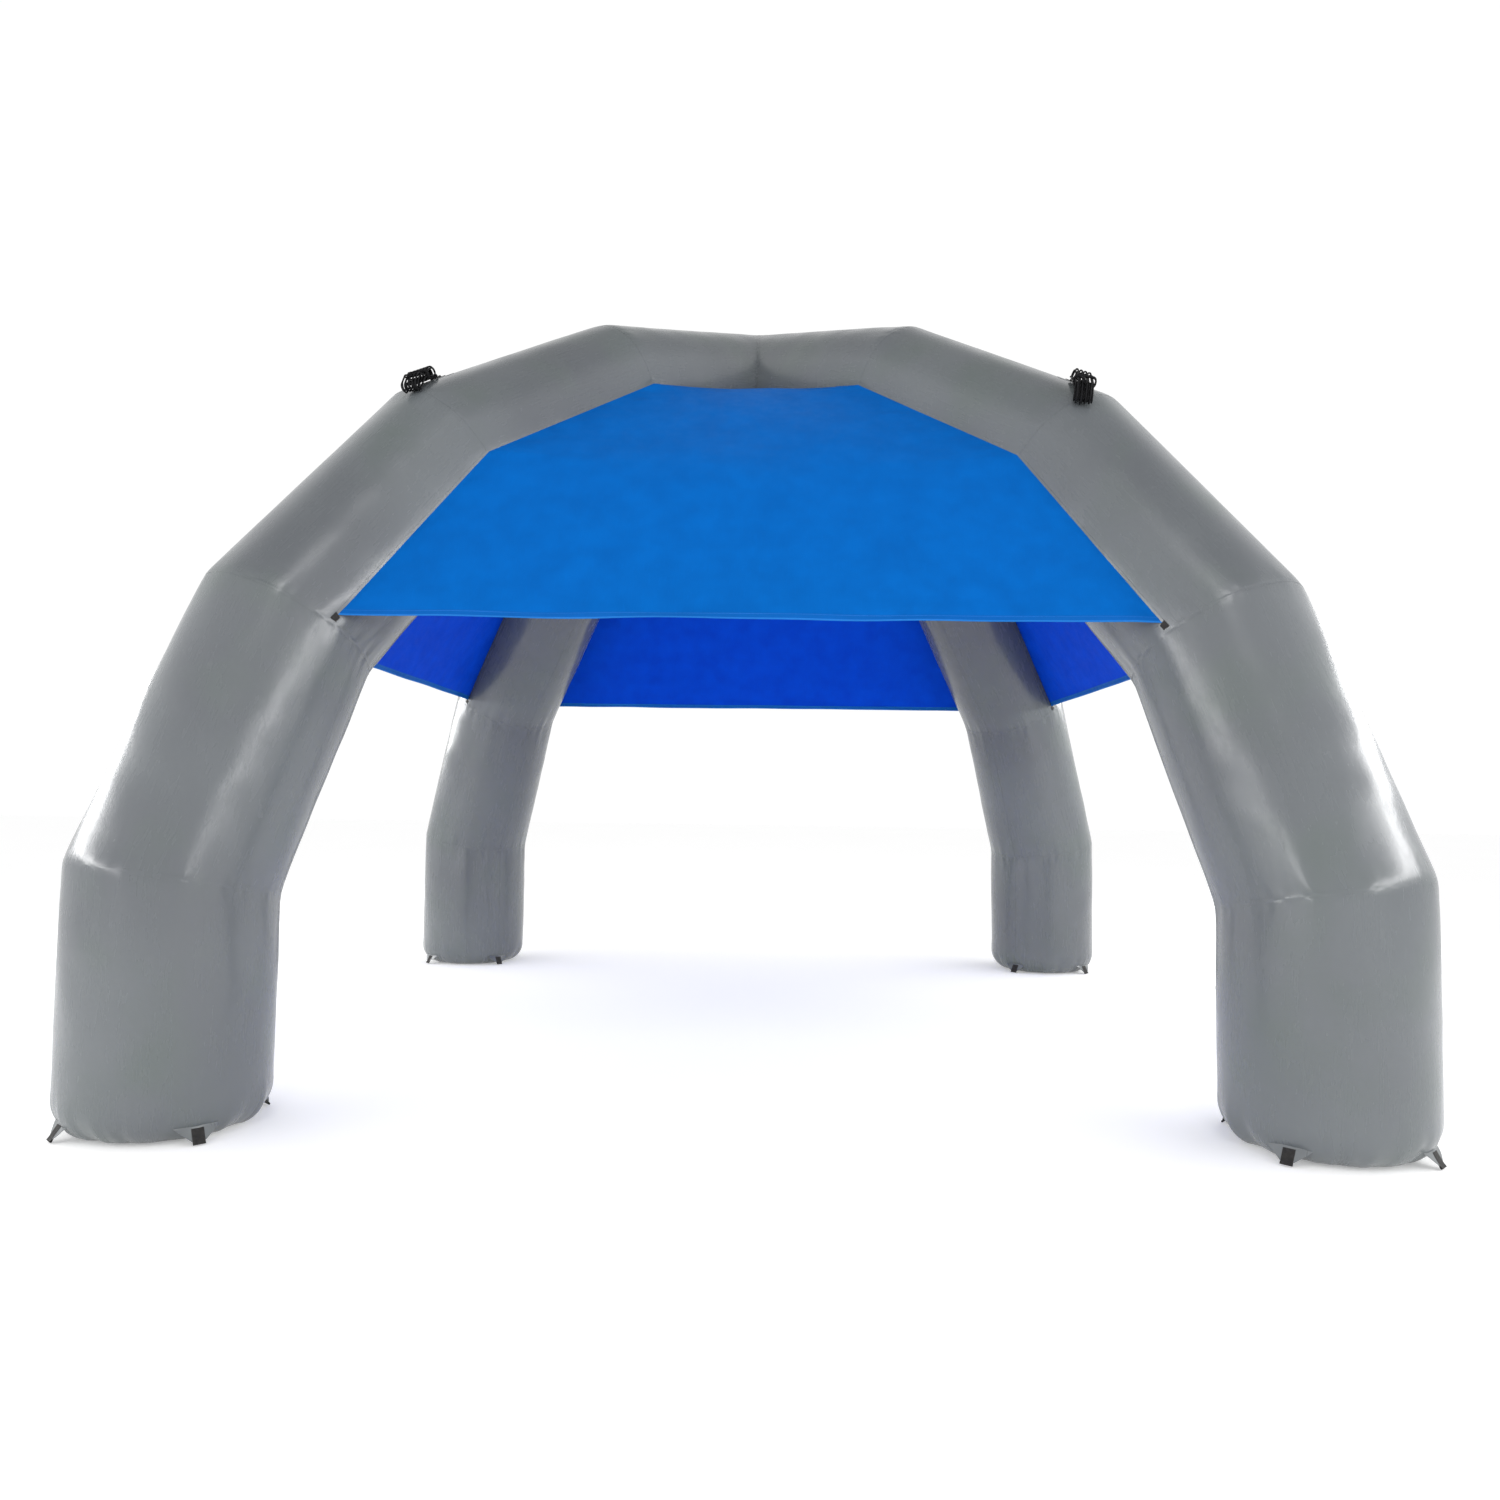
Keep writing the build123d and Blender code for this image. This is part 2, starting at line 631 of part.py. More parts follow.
def write_valves():
    inflation, relief = valve_frame(INFLATION_HEIGHT), valve_frame(RELIEF_HEIGHT)
    angle = LEG_ANGLES[VALVE_LEG]
    patches = [make_valve_patch(height) for height in (INFLATION_HEIGHT, RELIEF_HEIGHT)]
    write_group("valve_patches", [(patch, angle) for patch in patches])
    nut = make_backing_nut()
    write_group("valve_backing_nuts", [(inflation * nut, angle), (relief * nut, angle)])
    for name, plane, shape in (
        ("inflation_valve_body", inflation, make_inflation_body()),
        ("inflation_valve_poppet", inflation, make_inflation_poppet()),
        ("inflation_valve_spring", inflation, make_inflation_spring()),
        ("inflation_valve_cap", inflation, make_inflation_cap()),
        ("inflation_cap_leash", inflation, make_cap_leash()),
        ("relief_valve_body", relief, make_relief_body()),
        ("relief_valve_poppet", relief, make_relief_poppet()),
        ("relief_valve_spring", relief, make_relief_spring()),
        ("relief_valve_cover", relief, make_relief_cover()),
    ):
        write(name, turned(plane * shape, angle))


def print_places():
    """The dimensions and places that the record states, before a leg is turned to its own angle."""
    bar = guy_frame() * Pos(0, 0, RING_LIFT)
    bow = bar * Pos(-RING_STRAIGHT - RING_HALF_WIDTH, 0, 0)
    print("leg reach", round(LEG_REACH, 2))
    print("height", round(STATIONS[CROWN].centre.Z + STATIONS[CROWN].tall, 2))
    print("ring bar", bar.position, "ring bow", bow.position, "out of the tube", guy_frame().z_dir)
    print("hem corner", side_point(2, 1), "hem edge above the second bend", round(hem_edge(), 2))
    print("canopy lines in a panel's frame", canopy_lines())
    print("anchor tab root radius", round(foot_radius(TAB_ROOT_HEIGHT), 2))


os.makedirs("parts", exist_ok=True)
write_tubes()
write_canopy()
write_anchors()
write_guy_points()
write_valves()
print_places()
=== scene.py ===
import math

import bpy
import numpy as np
from mathutils import Matrix, Vector


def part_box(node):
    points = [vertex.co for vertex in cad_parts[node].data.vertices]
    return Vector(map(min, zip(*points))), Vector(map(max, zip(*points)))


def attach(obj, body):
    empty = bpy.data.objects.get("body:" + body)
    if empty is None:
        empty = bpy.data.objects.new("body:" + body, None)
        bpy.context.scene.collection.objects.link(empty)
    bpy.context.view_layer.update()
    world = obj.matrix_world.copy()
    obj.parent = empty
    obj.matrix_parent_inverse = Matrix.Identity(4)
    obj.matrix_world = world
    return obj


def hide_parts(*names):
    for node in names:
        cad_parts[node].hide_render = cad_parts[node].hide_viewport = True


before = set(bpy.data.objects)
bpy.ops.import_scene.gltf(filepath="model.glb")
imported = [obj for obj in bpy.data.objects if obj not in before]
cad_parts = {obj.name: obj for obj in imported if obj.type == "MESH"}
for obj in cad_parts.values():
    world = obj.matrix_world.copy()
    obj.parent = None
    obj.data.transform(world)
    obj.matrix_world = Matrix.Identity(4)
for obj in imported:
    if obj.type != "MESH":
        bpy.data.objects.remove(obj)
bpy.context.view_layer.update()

# An inflatable four-legged event tent, in metres, in the frame's own axes: the origin is on the
# floor midway between the feet, and the front faces -Y. A leg is worked out once in a leg frame,
# whose +X points outwards along the leg's diagonal, and a canopy panel between its two legs.

LEG_ANGLES = {"front_right": -45.0, "back_right": 45.0, "back_left": 135.0, "front_left": -135.0}
PANELS = {  # the legs at the left and the right of each panel, seen from outside
    "front": ("front_left", "front_right"),
    "right": ("front_right", "back_right"),
    "back": ("back_right", "back_left"),
    "left": ("back_left", "front_left"),
}
ROOT = "tent"

# ---- Driving dimensions -------------------------------------------------------------------------
foot_low, foot_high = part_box("front_right_foot_cap")
FOOT_RADIUS = (foot_high[0] - foot_low[0]) / 2
FOOT_CAP_HEIGHT = foot_high[2]
FOOT_ROUNDING = 0.160
LEG_REACH = math.hypot(foot_low[0] + foot_high[0], foot_low[1] + foot_high[1]) / 2
CROWN_RADIUS = 0.380
CROWN_SWELL = 0.035
FIRST_BEND_HEIGHT = 1.090
TUBE_LENGTH = 1.280
RISE_ANGLES = (68.5, 50.7, 31.1, 12.6)
TUBE_NAMES = ("lower_tube", "knee_tube", "haunch_tube", "shoulder_tube", "crown_tube")

CANOPY_ANGLE = -5.0  # of the canopy's line on the tubes, in degrees above their side line
CROWN_CANOPY_ANGLE = -14.0  # the same at the crown, where the canopy hangs lower
MEETING_SHARE = 0.69  # a crown tube ends on the canopy's line at this share of its length
CANOPY = 0.0012
HEM_RISE = 0.050
HEM_WIDTH = 0.040
HEM_THICKNESS = 0.0024
WELD = 0.0016
WELD_OUTER, WELD_INNER = 0.014, 0.045  # how far the weld strip reaches past the canopy's line

ROPE = 0.009

GUY_TUBE = 3
GUY_DISTANCE = 0.256  # of a guy point above its tube's lower seam
GUY_PATCH_RADIUS = 0.085

VALVE_LEG = "front_right"
VALVE_HEIGHTS = (0.620, 0.860)
VALVE_MIDDLE = sum(VALVE_HEIGHTS) / 2
VALVE_SPREAD = (VALVE_HEIGHTS[1] - VALVE_HEIGHTS[0]) / 2
VALVE_FLAT = 0.16  # the fabric is flat this far round the valves
VALVE_OPENING = 0.045

TAB_ROOT_HEIGHT = 0.072
TAB_LENGTH = 0.058
TAB_SLOPE = 66.0
TAB_ROOT_WIDTH = 0.180
TAB_TIP_WIDTH = 0.058
TAB_THICKNESS = 0.0015
TAB_CLEARANCE = 0.0012
LOOP_REACH = 0.016  # how far the fold of webbing stands out past the tab's tip
LOOP_START = 0.005  # where the webbing starts on the tab's upper side, down from the root
LOOP_BACK = 0.022  # and where it ends underneath
LOOP_FOLD = 0.0035
LOOP_CLEARANCE = 0.0012
WEBBING_WIDTH = 0.050
WEBBING = 0.0018
CORNER_WEBBING = 0.032
CORNER_WEBBING_LIFT = 0.0026

HEM_STEPS = np.array([0.0, 0.008, 0.016, 0.024, 0.032, HEM_WIDTH])
CROWN_SETBACK = 0.012  # the canopy stops this far short of the crown tube's end
SAG = 0.030

CAMERA_PLACE = (0.120, -7.540, 1.468)
CAMERA_YAW, CAMERA_PITCH, CAMERA_ROLL = -1.12, 2.61, 0.746
CAMERA_LENS = 26.66

# ---- Camera -------------------------------------------------------------------------------------
def make_camera():
    """A wide view from straight in front, at the height of a standing person's eyes."""
    yaw, pitch, roll = (math.radians(a) for a in (CAMERA_YAW, CAMERA_PITCH, CAMERA_ROLL))
    forward = Vector((math.sin(yaw) * math.cos(pitch), math.cos(yaw) * math.cos(pitch), math.sin(pitch)))
    level = Vector((math.cos(yaw), -math.sin(yaw), 0))
    upright = level.cross(forward)
    right = level * math.cos(roll) + upright * math.sin(roll)
    up = upright * math.cos(roll) - level * math.sin(roll)
    data = bpy.data.cameras.new("camera")
    data.sensor_width = 36.0
    data.lens = CAMERA_LENS
    camera = bpy.data.objects.new("camera", data)
    facing = Matrix((right, up, -forward)).transposed().to_4x4()
    camera.matrix_world = Matrix.Translation(CAMERA_PLACE) @ facing
    bpy.context.collection.objects.link(camera)
    bpy.context.scene.camera = camera


make_camera()


# ---- Small helpers ------------------------------------------------------------------------------
def turn(points, degrees):
    """The points turned about the tent's vertical axis."""
    a = math.radians(degrees)
    spin = np.array([[math.cos(a), math.sin(a), 0], [-math.sin(a), math.cos(a), 0], [0, 0, 1]])
    return np.asarray(points, float) @ spin


def unit(v):
    v = np.asarray(v, float)
    return v / np.linalg.norm(v, axis=-1, keepdims=True)


def waves(points, length, seed, count=14):
    """Smooth noise of about unit size: a sum of plane waves of about the given wavelength."""
    rng = np.random.default_rng(seed)
    headings = unit(rng.normal(size=(count, 3)))
    rates = 2 * math.pi / (length * rng.uniform(0.7, 1.6, count))
    phases = rng.uniform(0, 2 * math.pi, count)
    return np.sin(points @ (headings * rates[:, None]).T + phases).sum(-1) / math.sqrt(count / 2)


def ripple(angle, count, seed, spread=5):
    """Uneven ripples round a full circle, of about unit size and about count to the turn."""
    rng = np.random.default_rng(seed)
    total = np.zeros_like(angle)
    for n in range(count - spread, count + spread + 1):
        total += np.sin(n * angle + rng.uniform(0, 2 * math.pi)) * rng.uniform(0.5, 1.0)
    return total / math.sqrt(spread)


def new_object(name, data):
    piece = bpy.data.objects.new(name, data)
    bpy.context.collection.objects.link(piece)
    return piece


class Build:
    """Gathers grids of points into one mesh, with a UV in metres and a material kind per grid."""

    def __init__(self):
        self.points, self.faces, self.uvs, self.kinds, self.count = [], [], [], [], 0

    def grid(self, points, uv, kind=0, around=False, closed=False):
        """Adds rows by columns of points; around joins the last column to the first, and closed
        the last row to the first. The seen side is the one where columns run to the right as
        rows run down."""
        rows, cols = points.shape[:2]
        r, c = np.meshgrid(
            np.arange(rows if closed else rows - 1), np.arange(cols if around else cols - 1), indexing="ij"
        )
        below, beside = (r + 1) % rows, (c + 1) % cols
        corners = ((r, c), (below, c), (below, beside), (r, beside))
        self.faces.append(np.stack([(a * cols + b).ravel() for a, b in corners], 1) + self.count)
        self.uvs.append(np.stack([uv[a, b].reshape(-1, 2) for a, b in corners], 1))
        self.kinds.append(np.full(r.size, kind))
        self.points.append(points.reshape(-1, 3))
        self.count += rows * cols

    def band(self, outer, inner, uv, inner_uv):
        """A closed band, from an outer and an inner grid whose columns go all the way round."""
        points = np.concatenate([outer, inner[::-1]])
        self.grid(points, np.concatenate([uv, inner_uv[::-1]]), around=True, closed=True)

    def slab(self, high, low, uv, kind=0, under=None):
        """A closed sheet between two grids: high is the seen face, and low lies beneath it."""
        rows, cols = high.shape[:2]
        start = self.count
        self.grid(high, uv, kind)
        self.grid(low[:, ::-1], uv[:, ::-1], kind if under is None else under)
        edge = [(0, c) for c in range(cols)] + [(r, cols - 1) for r in range(1, rows)]
        edge += [(rows - 1, c) for c in range(cols - 2, -1, -1)] + [(r, 0) for r in range(rows - 2, 0, -1)]
        r, c = np.array(edge).T
        top, flat = start + r * cols + c, uv[r, c]
        base = start + rows * cols + r * cols + (cols - 1 - c)
        turned = [np.roll(x, -1, 0) for x in (top, base, flat)]
        self.faces.append(np.stack([top, turned[0], turned[1], base], 1))
        self.uvs.append(np.stack([flat, turned[2], turned[2], flat], 1))
        self.kinds.append(np.full(len(top), kind))

    def finish(self, name, materials, sharp=50.0, keep=None):
        mesh = bpy.data.meshes.new(name)
        points = np.concatenate(self.points)
        faces, uvs, kinds = (np.concatenate(x) for x in (self.faces, self.uvs, self.kinds))
        if keep is not None:
            kept = keep(points[faces].mean(1))
            faces, uvs, kinds = faces[kept], uvs[kept], kinds[kept]
        mesh.from_pydata(points.tolist(), [], faces.tolist())
        mesh.uv_layers.new(name="surface").data.foreach_set("uv", uvs.reshape(-1).astype(np.float32))
        for material in materials:
            mesh.materials.append(material)
        mesh.polygons.foreach_set("material_index", kinds.astype(np.int32))
        mesh.shade_smooth()
        mesh.set_sharp_from_angle(angle=math.radians(sharp))
        mesh.update()
        return new_object(name, mesh)


def add(piece, body, slot, *nodes):
    """The piece rides on a body and stands for some nodes, which are hidden. Its slot is not used."""
    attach(piece, body)
    if nodes:
        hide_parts(*nodes)
    return piece


# ---- The leg's skeleton -------------------------------------------------------------------------
def direction(rise):
    return np.array([-math.cos(math.radians(rise)), 0, math.sin(math.radians(rise))])


class Seam:
    """A seam's ellipse: its centre, its plane, the direction of its outer crest, its half widths."""

    def __init__(self, centre, normal, side, tall):
        self.centre, self.normal, self.side, self.tall = np.asarray(centre, float), unit(normal), side, tall
        self.crest = unit(np.cross((0, 1, 0), normal))

    def at(self, angle):
        """Points for angles in radians; 0 is the +Y side line and a quarter turn the crest."""
        across = np.cos(angle)[..., None] * np.array([0, self.side, 0])
        return self.centre + across + np.sin(angle)[..., None] * self.crest * self.tall

    def heading(self, angle):
        across = -np.sin(angle)[..., None] * np.array([0, self.side, 0])
        return across + np.cos(angle)[..., None] * self.crest * self.tall


def make_seams():
    slopes = (90.0, *RISE_ANGLES)
    narrowing = (FOOT_RADIUS - CROWN_RADIUS) / len(RISE_ANGLES)
    seams = [Seam((LEG_REACH, 0, FOOT_CAP_HEIGHT), (0, 0, 1), FOOT_RADIUS, FOOT_RADIUS)]
    centre = np.array([LEG_REACH, 0, FIRST_BEND_HEIGHT])
    for k, rise in enumerate(RISE_ANGLES):
        normal = unit(direction(slopes[k]) + direction(rise))
        radius = FOOT_RADIUS - narrowing * k
        seams.append(Seam(centre, normal, radius, radius / math.cos(math.radians(slopes[k] - rise) / 2)))
        centre = centre + direction(rise) * TUBE_LENGTH
    top = centre + np.array([0, 0, CROWN_SWELL])
    seams.append(Seam(top, (-1, 0, 0), CROWN_RADIUS, CROWN_RADIUS + CROWN_SWELL))
    return seams


SEAMS = make_seams()
CROWN_TUBE = len(SEAMS) - 2
BEND_ROUNDING = 0.045  # each bend's fold is rounded off over this distance to either side
BEND_SLOPE = 0.18  # the rise of a tube's crest over the plane square to its seam, at the seam
LEG_SEEDS = {leg: 100 * (i + 1) for i, leg in enumerate(LEG_ANGLES)}


def unevenness(leg, points):
    """The slow swells of air-filled fabric."""
    seed = LEG_SEEDS[leg] + 9
    return 0.0016 * waves(points, 0.85, seed) + 0.0007 * waves(points, 0.22, seed + 1)


def pucker(leg, seam, gap, angle):
    """How the fabric is drawn in and puckered near a bend's seam, gap metres away from it."""
    if seam in (0, len(SEAMS) - 1):
        return 0 * gap * angle
    seed = LEG_SEEDS[leg] + seam
    inner = 0.5 - 0.5 * np.sin(angle)
    size = 0.0009 + 0.0026 * inner**2
    fade = (1 - np.exp(-gap / 0.012)) * np.exp(-gap / (0.055 + 0.05 * inner))
    folds = ripple(angle, 40, seed) * np.exp(-gap / 0.05) + 0.9 * ripple(angle, 21, seed + 50, 4)
    drawn = 0.0018 * np.exp(-gap / 0.03) * inner**2
    rounded = BEND_ROUNDING * BEND_SLOPE / 2 * np.sin(angle) * np.clip(1 - gap / BEND_ROUNDING, 0, 1) ** 2
    swell = 0.0022 * ripple(angle, 8, seed + 90, 4) * np.exp(-gap / 0.10)
    return fade * size * folds - drawn - rounded + swell


def foot_pucker(leg, height, angle):
    """The gathers and lumps round the rounded edge of a foot."""
    seed = LEG_SEEDS[leg] + 77
    gathers = 0.0026 * ripple(angle, 34, seed, 6) * np.exp(-np.abs(height - 0.050) / 0.060)
    return gathers + 0.0042 * ripple(angle, 13, seed + 1, 4) * np.exp(-(((height - 0.060) / 0.090) ** 2))


def evenness(leg, k, angle, base):
    """Close to 0 where pieces stand on the fabric, which is flat there, and 1 elsewhere."""
    even = np.ones(base.shape[:-1])
    if k in (GUY_TUBE - 1, GUY_TUBE):
        even = even - 0.75 * np.clip(np.sin(angle), 0, 1)
    if leg == VALVE_LEG and k == 0:
        aside = np.hypot(base[..., 1], np.maximum(np.abs(base[..., 2] - VALVE_MIDDLE) - VALVE_SPREAD, 0))
        even = even * (1 - np.exp(-((aside / VALVE_FLAT) ** 4)) * (base[..., 0] < LEG_REACH))
    return even


def tube_surface(leg, k, gap, angle, offset=0.0, from_top=False):
    """Points on tube k of a leg, in the tent's frame, gap metres up from its lower seam or down
    from its upper one, and the tube's length there. Offset lifts the points off the fabric."""
    low, high = SEAMS[k].at(angle), SEAMS[k + 1].at(angle)
    share = np.ones(low.shape[:-1])
    if k == CROWN_TUBE:  # the crown tubes end where they meet the tubes beside them
        spare_low = low[..., 0] - np.abs(low[..., 1])
        spare_high = high[..., 0] - np.abs(high[..., 1])
        share = np.clip(spare_low / (spare_low - spare_high), 0, 1)
    full = np.linalg.norm(high - low, axis=-1)
    length = full * share
    along = (high - low) / full[..., None]
    distance = length - gap if from_top else gap + 0 * length
    rest = length - distance
    t = (distance / full)[..., None]
    around = SEAMS[k].heading(angle) * (1 - t) + SEAMS[k + 1].heading(angle) * t
    out = unit(np.cross(along, around))
    for seam, away in ((SEAMS[k], distance), (SEAMS[k + 1], rest)):
        if seam in SEAMS[1:-1]:  # neighbouring tubes share one direction at their seam
            shared = unit(np.cross(seam.normal, seam.heading(angle)))
            near = np.exp(-away / 0.02)[..., None]
            out = unit(out * (1 - near) + shared * near)
    base = low + along * distance[..., None]
    calm = 1 - np.exp(-rest / 0.09) if k == CROWN_TUBE else 1.0
    lift = unevenness(leg, base) * calm * evenness(leg, k, angle, base)
    lift = lift + pucker(leg, k, distance, angle) + pucker(leg, k + 1, rest, angle)
    if k == 0:
        lift = lift + foot_pucker(leg, base[..., 2], angle)
    return turn(base + out * (lift + offset)[..., None], LEG_ANGLES[leg]), length


def stack(leg, k, gaps, angle, offset=0.0, from_top=False):
    """Rows of points round tube k, one row for each gap from its lower or upper seam."""
    return np.stack([tube_surface(leg, k, g + 0 * angle, angle, offset, from_top)[0] for g in gaps])


def tube_rows(leg, k, angle, offset, near, middle):
    """Rows over the whole of tube k, with the near distances at each end and more between."""
    length = tube_surface(leg, k, 0 * angle, angle)[1]
    gaps = [d + 0 * angle for d in near]
    gaps += [near[-1] + (length - 2 * near[-1]) * s for s in np.linspace(0, 1, middle + 1)[1:-1]]
    gaps += [length - d for d in near[::-1]]
    points = np.stack([tube_surface(leg, k, g, angle, offset)[0] for g in gaps])
    across = np.broadcast_to(angle * SEAMS[k].side, points.shape[:2])
    return points, np.stack([across, np.stack(gaps) + k * TUBE_LENGTH], -1)


# ---- Guy ropes, bundled in hanks over the third bends -------------------------------------------
# The middle line of each hank, in the leg frame, from the ring down the tube's slope.
SHORT_HANK = (
    (2.448, 0, 3.730),
    (2.503, 0.039, 3.697),
    (2.559, 0.094, 3.657),
    (2.612, 0.148, 3.614),
    (2.657, 0.198, 3.532),
)
LONG_HANK = (
    (2.448, -0.008, 3.730),
    (2.500, -0.070, 3.694),
    (2.556, -0.154, 3.638),
    (2.597, -0.228, 3.581),
    (2.626, -0.296, 3.467),
)
HANKS = {  # the middle line, and how often the rope goes to and fro along it
    "front_left": (SHORT_HANK, 11),
    "front_right": (LONG_HANK, 9),
    "back_right": (SHORT_HANK, 11),
    "back_left": (LONG_HANK, 9),
}
RING_BOW = (2.4358, 0, 3.7009)  # where the rope is hitched to its ring
FOLD_RADIUS = 0.0285  # of the rope's own middle, where it turns back
INNER_FOLD_RADIUS = 0.0185  # every second turn lies inside its neighbours
HANK_HALF_WIDTH = 0.046
WAIST_HALF_GAP = 0.0165  # the wraps draw the two layers this close to the middle
INNER_WAIST_HALF_GAP = 0.0065
WAIST_HALF_LENGTH = 0.024
WAIST_EASE = 0.052  # the layers draw together over this length
WRAPS = 3
WRAP_PITCH = 0.0098
WRAP_CORNER = 0.019
HITCH_SIZE = 0.0095
END_KNOT_SIZE = 0.0080


class Spine:
    """Turns distances along, across and above a hank's middle line into points of the leg frame."""

    def __init__(self, points):
        self.points = np.array(points)
        steps = np.diff(self.points, axis=0)
        self.at = np.concatenate([[0], np.cumsum(np.linalg.norm(steps, axis=1))])
        last = len(self.points) - 1
        along = unit([self.points[min(i + 1, last)] - self.points[max(i - 1, 0)] for i in range(last + 1)])
        self.side = unit(np.cross(along, [self.away(p) for p in self.points]))
        self.up = np.cross(self.side, along)

    def away(self, point):
        """Out of the leg, square to the nearer of the two tubes at the third bend."""
        bend = SEAMS[GUY_TUBE].centre
        feet = []
        for far in (SEAMS[GUY_TUBE - 1].centre, SEAMS[GUY_TUBE + 1].centre):
            along = unit(far - bend)
            feet.append(bend + along * max(float((point - bend) @ along), 0.0))
        return unit(point - min(feet, key=lambda foot: np.linalg.norm(point - foot)))

    def place(self, along, across, above):
        at = np.clip(along, 0, self.at[-1])
        middle, side, up = (
            np.array([np.interp(at, self.at, v[:, i]) for i in range(3)])
            for v in (self.points, self.side, self.up)
        )
        steps = np.diff(self.points, axis=0)
        heading = unit(steps[-1] if along > self.at[-1] else steps[0])
        return middle + heading * (along - at) + side * across + up * above


def hank_route(points, turns):
    """The rope's control points: out of the ring, to and fro in two layers, wrapped round the
    waist of the bundle, and its end laid along the top."""
    spine = Spine(points)
    rng = np.random.default_rng(len(points) + turns)
    edge = FOLD_RADIUS + ROPE / 2
    first, last = edge, spine.at[-1] - edge
    waist = (first + last) / 2

    def half_gap(along, fold, narrow):
        ease = np.clip((abs(along - waist) - WAIST_HALF_LENGTH) / WAIST_EASE, 0, 1)
        return narrow + (fold - narrow) * ease * ease * (3 - 2 * ease)

    route = [(0.006, 0.0, -0.028), (0.006, -0.016, -0.029), (0.007, -0.034, -0.029)]
    runs, bends = 9, np.radians((-60, -30, 0, 30, 60))
    steps = 2 * (runs + len(bends))
    for n in range(turns):
        inside = n % 2 == 0
        fold = INNER_FOLD_RADIUS if inside else FOLD_RADIUS
        narrow = INNER_WAIST_HALF_GAP if inside else WAIST_HALF_GAP
        start, end = first + rng.uniform(0, 0.010), last - rng.uniform(0, 0.014)
        loop = [(a, -half_gap(a, fold, narrow)) for a in np.linspace(start, end, runs)]
        loop += [(end + fold * math.cos(b), fold * math.sin(b)) for b in bends]
        loop += [(a, half_gap(a, fold, narrow)) for a in np.linspace(end, start, runs)]
        loop += [(start - fold * math.cos(b), -fold * math.sin(b)) for b in bends]
        for i, (along, above) in enumerate(loop):
            across = -HANK_HALF_WIDTH + 2 * HANK_HALF_WIDTH * min((n + i / steps) / (turns - 0.5), 1)
            route.append((along, across, above))
    outer = HANK_HALF_WIDTH + ROPE
    begin = waist - WRAP_PITCH * WRAPS / 2
    route += [(first + 0.012, outer, -0.020), (first + 0.045, outer + 0.002, -0.012)]
    radius, corner = WAIST_HALF_GAP + ROPE, WRAP_CORNER
    reach, rise = outer - corner, radius - corner
    quarter = np.linspace(0, math.pi / 2, 4)
    for n in range(WRAPS):
        lap = [(x, -radius) for x in np.linspace(-0.7, 0.7, 5) * reach]
        lap += [(reach + corner * math.sin(a), -rise - corner * math.cos(a)) for a in quarter]
        lap += [(reach + corner * math.cos(a), rise + corner * math.sin(a)) for a in quarter]
        lap = lap + [(-x, -z) for x, z in lap]
        shift = lap.index(min(lap, key=lambda p: -p[0] + abs(p[1])))
        lap = lap[shift:] + lap[:shift]
        route += [(begin + WRAP_PITCH * (n + i / len(lap)), x, z) for i, (x, z) in enumerate(lap)]
    done = begin + WRAP_PITCH * WRAPS
    route += [(done + 0.004, 0.040, radius + 0.006), (done + 0.022, 0.018, 0.026)]
    route += [(done + 0.045, 0.010, 0.034), (done + 0.068, 0.008, 0.0375), (done + 0.092, 0.004, 0.038)]
    return [spine.place(*p) for p in route]


def rope_curve(name, points, closed=False):
    data = bpy.data.curves.new(name, "CURVE")
    data.dimensions = "3D"
    data.bevel_depth = ROPE / 2
    data.bevel_resolution = 2
    data.resolution_u = 5
    data.use_fill_caps = not closed
    spline = data.splines.new("NURBS")
    spline.points.add(len(points) - 1)
    for target, point in zip(spline.points, points):
        target.co = (*point, 1.0)
    spline.order_u = 3
    spline.use_endpoint_u = not closed
    spline.use_cyclic_u = closed
    return new_object(name, data)


def knot_points(centre, size, heading):
    """A closed knot of rope, drawn tight: the middle line of a trefoil."""
    t = np.linspace(0, 2 * math.pi, 37)[:-1]
    shape = np.stack([np.sin(t) + 2 * np.sin(2 * t), np.cos(t) - 2 * np.cos(2 * t), -1.3 * np.sin(3 * t)], 1)
    z = unit(heading)
    x = unit(np.cross(z, (0.31, 0.87, 0.38)))
    return centre + shape / 3 * size @ np.array([x, np.cross(z, x), z])


def make_guy_rope(leg):
    points, turns = HANKS[leg]
    route = turn(hank_route(points, turns), LEG_ANGLES[leg])
    rope = rope_curve(f"{leg}_guy_rope", route)
    exit_point = turn([RING_BOW], LEG_ANGLES[leg])[0]
    knot = knot_points(exit_point, HITCH_SIZE, route[1] - route[0])
    hitch = rope_curve(f"{leg}_guy_rope_hitch", knot, True)
    knot = knot_points(route[-1], END_KNOT_SIZE, route[-1] - route[-2])
    stopper = rope_curve(f"{leg}_guy_rope_end_knot", knot, True)
    for piece in (rope, hitch, stopper):
        add(piece, f"{leg}_guy_point", "black_rope")
    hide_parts(f"{leg}_guy_rope_hank")
    return [rope, hitch, stopper]


ropes = [piece for leg in LEG_ANGLES for piece in make_guy_rope(leg)]


